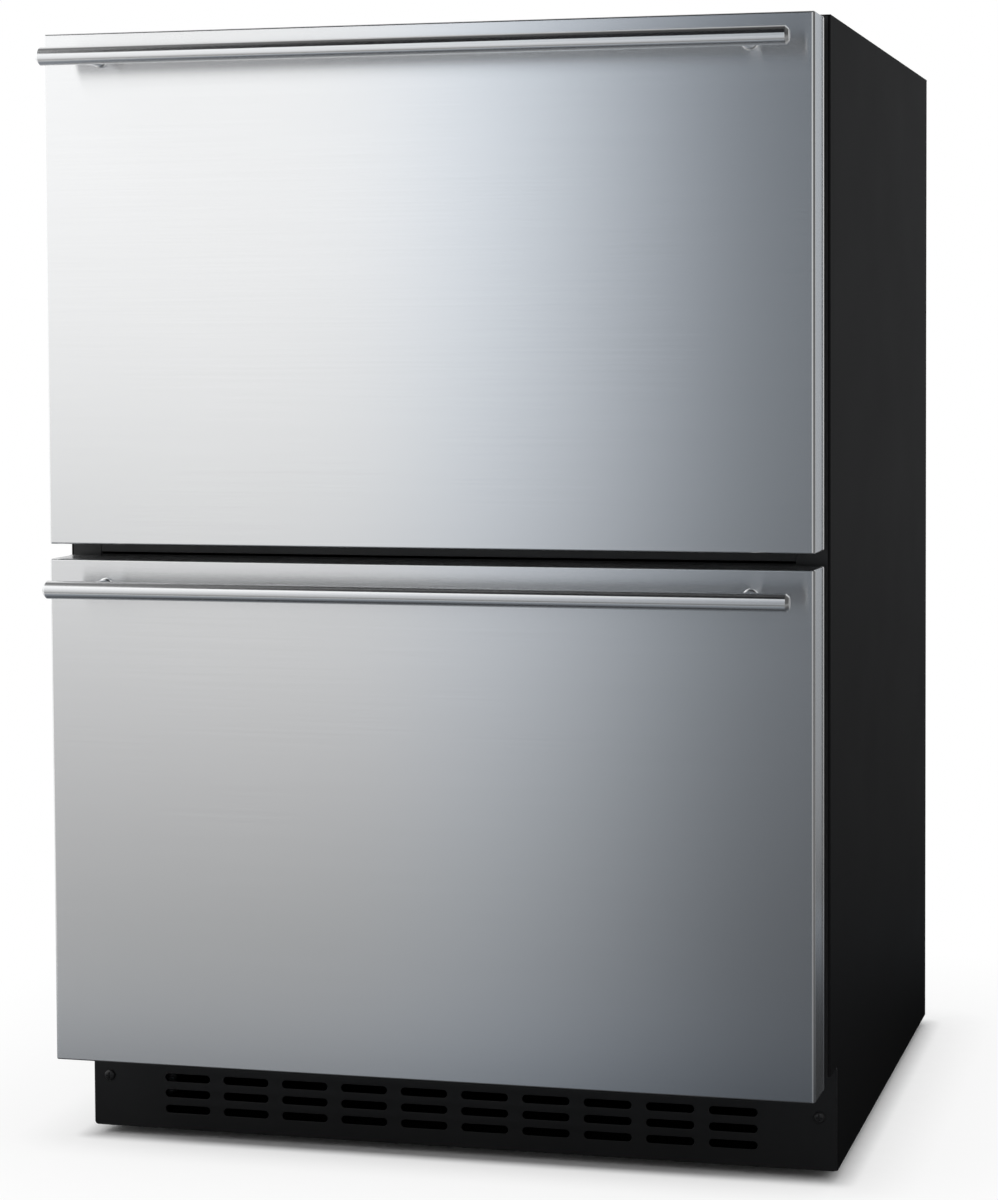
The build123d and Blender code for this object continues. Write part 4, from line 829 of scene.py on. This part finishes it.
def make_kick_screws():
    """The two screws that hold the grille."""
    low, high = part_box("kick_screws")
    centre_z = (low.z + high.z) / 2
    radius, rise, depth = (high.z - low.z) / 2, kick_face_y - low.y, high.y - kick_face_y
    heads = [cross_head(x, kick_face_y, centre_z, radius, rise, depth, -1)
             for x in (low.x + radius, high.x - radius)]
    add_piece("kick_heads", "cabinet", "black_screw", joined(heads, "kick_heads", 35), ["kick_screws"])


def make_mullion():
    """The cross rail: a cover with a raised middle land between two pressed grooves, its backing, whose
    edges show in the joints, and its beam."""
    low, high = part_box("mullion")
    middle_z = (low.z + high.z) / 2
    face_y, cover, back, joint = low.y, 1.0 * mm, 0.4 * mm, 0.8 * mm
    land, groove, groove_depth, slant, soft = 3.15 * mm, 2.0 * mm, 0.6 * mm, 0.2 * mm, 0.3 * mm
    sharp, beam_corner = 0.05 * mm, 3 * mm
    groove_y, reach = face_y + groove_depth, high.z - middle_z
    upper = [(face_y, land), (groove_y, land + slant), (groove_y, land + groove - slant),
             (face_y, land + groove), (face_y, reach - soft), (face_y + soft, reach),
             (face_y + cover, reach)]
    outline = [(y, middle_z + z) for y, z in upper]
    outline += [(y, middle_z - z) for y, z in reversed(upper)]
    plate = prism(outline, "x", low.x + joint, high.x - joint, "cover", 25)
    backing = box_mesh((low.x, face_y + wrap_sheet - back, low.z), (high.x, face_y + wrap_sheet, high.z),
                       sharp, "backing", 1)
    beam_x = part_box("lower_slide_rails")[1].x
    beam = box_mesh((-beam_x, face_y + cover, low.z), (beam_x, high.y, high.z), beam_corner, "beam", 4)
    mesh = joined([plate, backing, beam], "mullion_rail", 25)
    add_piece("mullion_rail", "cabinet", "black_paint", mesh, ["mullion"], "smooth_black")


# Cabinet shell

def make_sides():
    """The painted sides, with real bend radii at their folds, and their smooth front flanges."""
    bend, stub, edge = 1.6 * mm, 0.4 * mm, 0.15 * mm
    joint_x = half_width - bend - stub
    for name, side in (("left", -1), ("right", 1)):
        node = f"side_panel_{name}"
        low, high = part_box(node)
        sheets, flanges = [], []
        above = (low.y, box_floor_z, high.z)
        beside_kick = (kick_face_y + kick_sheet, low.z, box_floor_z)
        for front_y, z0, z1 in (above, beside_kick):
            line = [(joint_x, front_y), (half_width, front_y), (half_width, high.y),
                    (half_width - rear_flange, high.y)]
            outline = [(side * x, y) for x, y in bent_outline(line, bend, wrap_sheet)]
            sheets.append(prism(outline, "z", z0, z1, "sheet"))
            x0, x1 = sorted((side * (half_width - flange_width), side * joint_x))
            flanges.append(box_mesh((x0, front_y, z0), (x1, front_y + wrap_sheet, z1), edge, "flange"))
        wrap, flange = f"side_wrap_{name}", f"front_flange_{name}"
        add_piece(wrap, "cabinet", "black_paint", joined(sheets, wrap), [node])
        add_piece(flange, "cabinet", "black_paint", joined(flanges, flange), finish="smooth_black")


def make_top():
    """The top sheet: its front and rear edges are turned down between those of the sides."""
    bend, clear, reach, sharp = 1.2 * mm, mm, 2 * mm, 0.01 * mm
    low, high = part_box("top_panel")
    under = high.z - wrap_sheet
    line = [(-low.y, high.z - flange_width), (-low.y, high.z), (-high.y, high.z),
            (-high.y, high.z - rear_flange)]
    outline = [(-y, z) for y, z in bent_outline(line, bend, wrap_sheet)]
    mesh = prism(outline, "x", low.x, high.x, "sheet")
    for side in (-1, 1):
        for y, width in ((low.y, flange_width), (high.y, rear_flange)):
            x0, x1 = sorted((side * (half_width - width), side * (half_width + clear)))
            notch = box_mesh((x0, y - reach, low.z - clear), (x1, y + reach, under), sharp, "notch", 1)
            mesh = boolean(mesh, notch, "DIFFERENCE", "top_wrap")
    add_piece("top_wrap", "cabinet", "black_paint", mesh, ["top_panel"])


def make_cover_screws():
    """Low-headed screws along the upper and lower rims of the machine bay's cover."""
    low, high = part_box("bay_cover")
    radius, rise, depth = 4.2 * mm, 0.9 * mm, 6 * mm
    inset, screw_x = 7 * mm, 270 * mm
    heads = []
    for z in (low.z + inset, high.z - inset):
        for x in (-screw_x, 0, screw_x):
            heads.append(cross_head(x, high.y, z, radius, rise, depth, 1))
    add_piece("cover_screws", "cabinet", "zinc_steel", joined(heads, "cover_screws", 35))


def make_legs():
    """Levelling feet: a chamfered hexagon pad on a threaded stud."""
    sides, gap, sole, chamfer, shoulder = 6, 0.3 * mm, 1.2 * mm, 1.4 * mm, 2.4 * mm
    radius, pitch, thread, lead = 5 * mm, 1.5 * mm, 0.55 * mm, 1.0 * mm
    turns = [2 * math.pi * k / sides for k in range(sides)]
    for name in ("front_left", "front_right", "rear_left", "rear_right"):
        low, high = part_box(f"leg_{name}")
        x, y = (low.x + high.x) / 2, (low.y + high.y) / 2
        flat = high.y - low.y
        pad_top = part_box("base_pan")[0].z - gap
        rings = []
        for z, inset in ((0, sole), (mm, 0), (pad_top - chamfer, 0), (pad_top, shoulder)):
            corner = (flat / 2 - inset) / math.cos(math.pi / sides)
            rings.append([(x + corner * math.cos(turn), y + corner * math.sin(turn), z) for turn in turns])
        pad = loft(rings, "pad", 25)
        profile = [(pad_top - mm, 0), (pad_top - mm, radius - thread)]
        for k in range(int((high.z - pad_top - lead) / pitch)):
            z = pad_top + k * pitch
            profile += [(z, radius - thread), (z + pitch / 2, radius)]
        profile += [(high.z - lead, radius - thread), (high.z, radius - thread - 0.8 * lead), (high.z, 0)]
        stud = spun(profile, 28, (x, y, 0), "z", "stud", 25)
        add_piece(f"foot_{name}", f"leg_{name}_body", "zinc_steel", joined([pad, stud], f"foot_{name}", 25),
                  [f"leg_{name}"])


for drawer in ("upper", "lower"):
    make_front_skin(drawer)
    make_handle(drawer)
    make_posts(drawer)
    make_gasket(drawer)
    make_bin(drawer)
make_kick_plate()
make_kick_screws()
make_mullion()
make_sides()
make_top()
make_cover_screws()
make_legs()
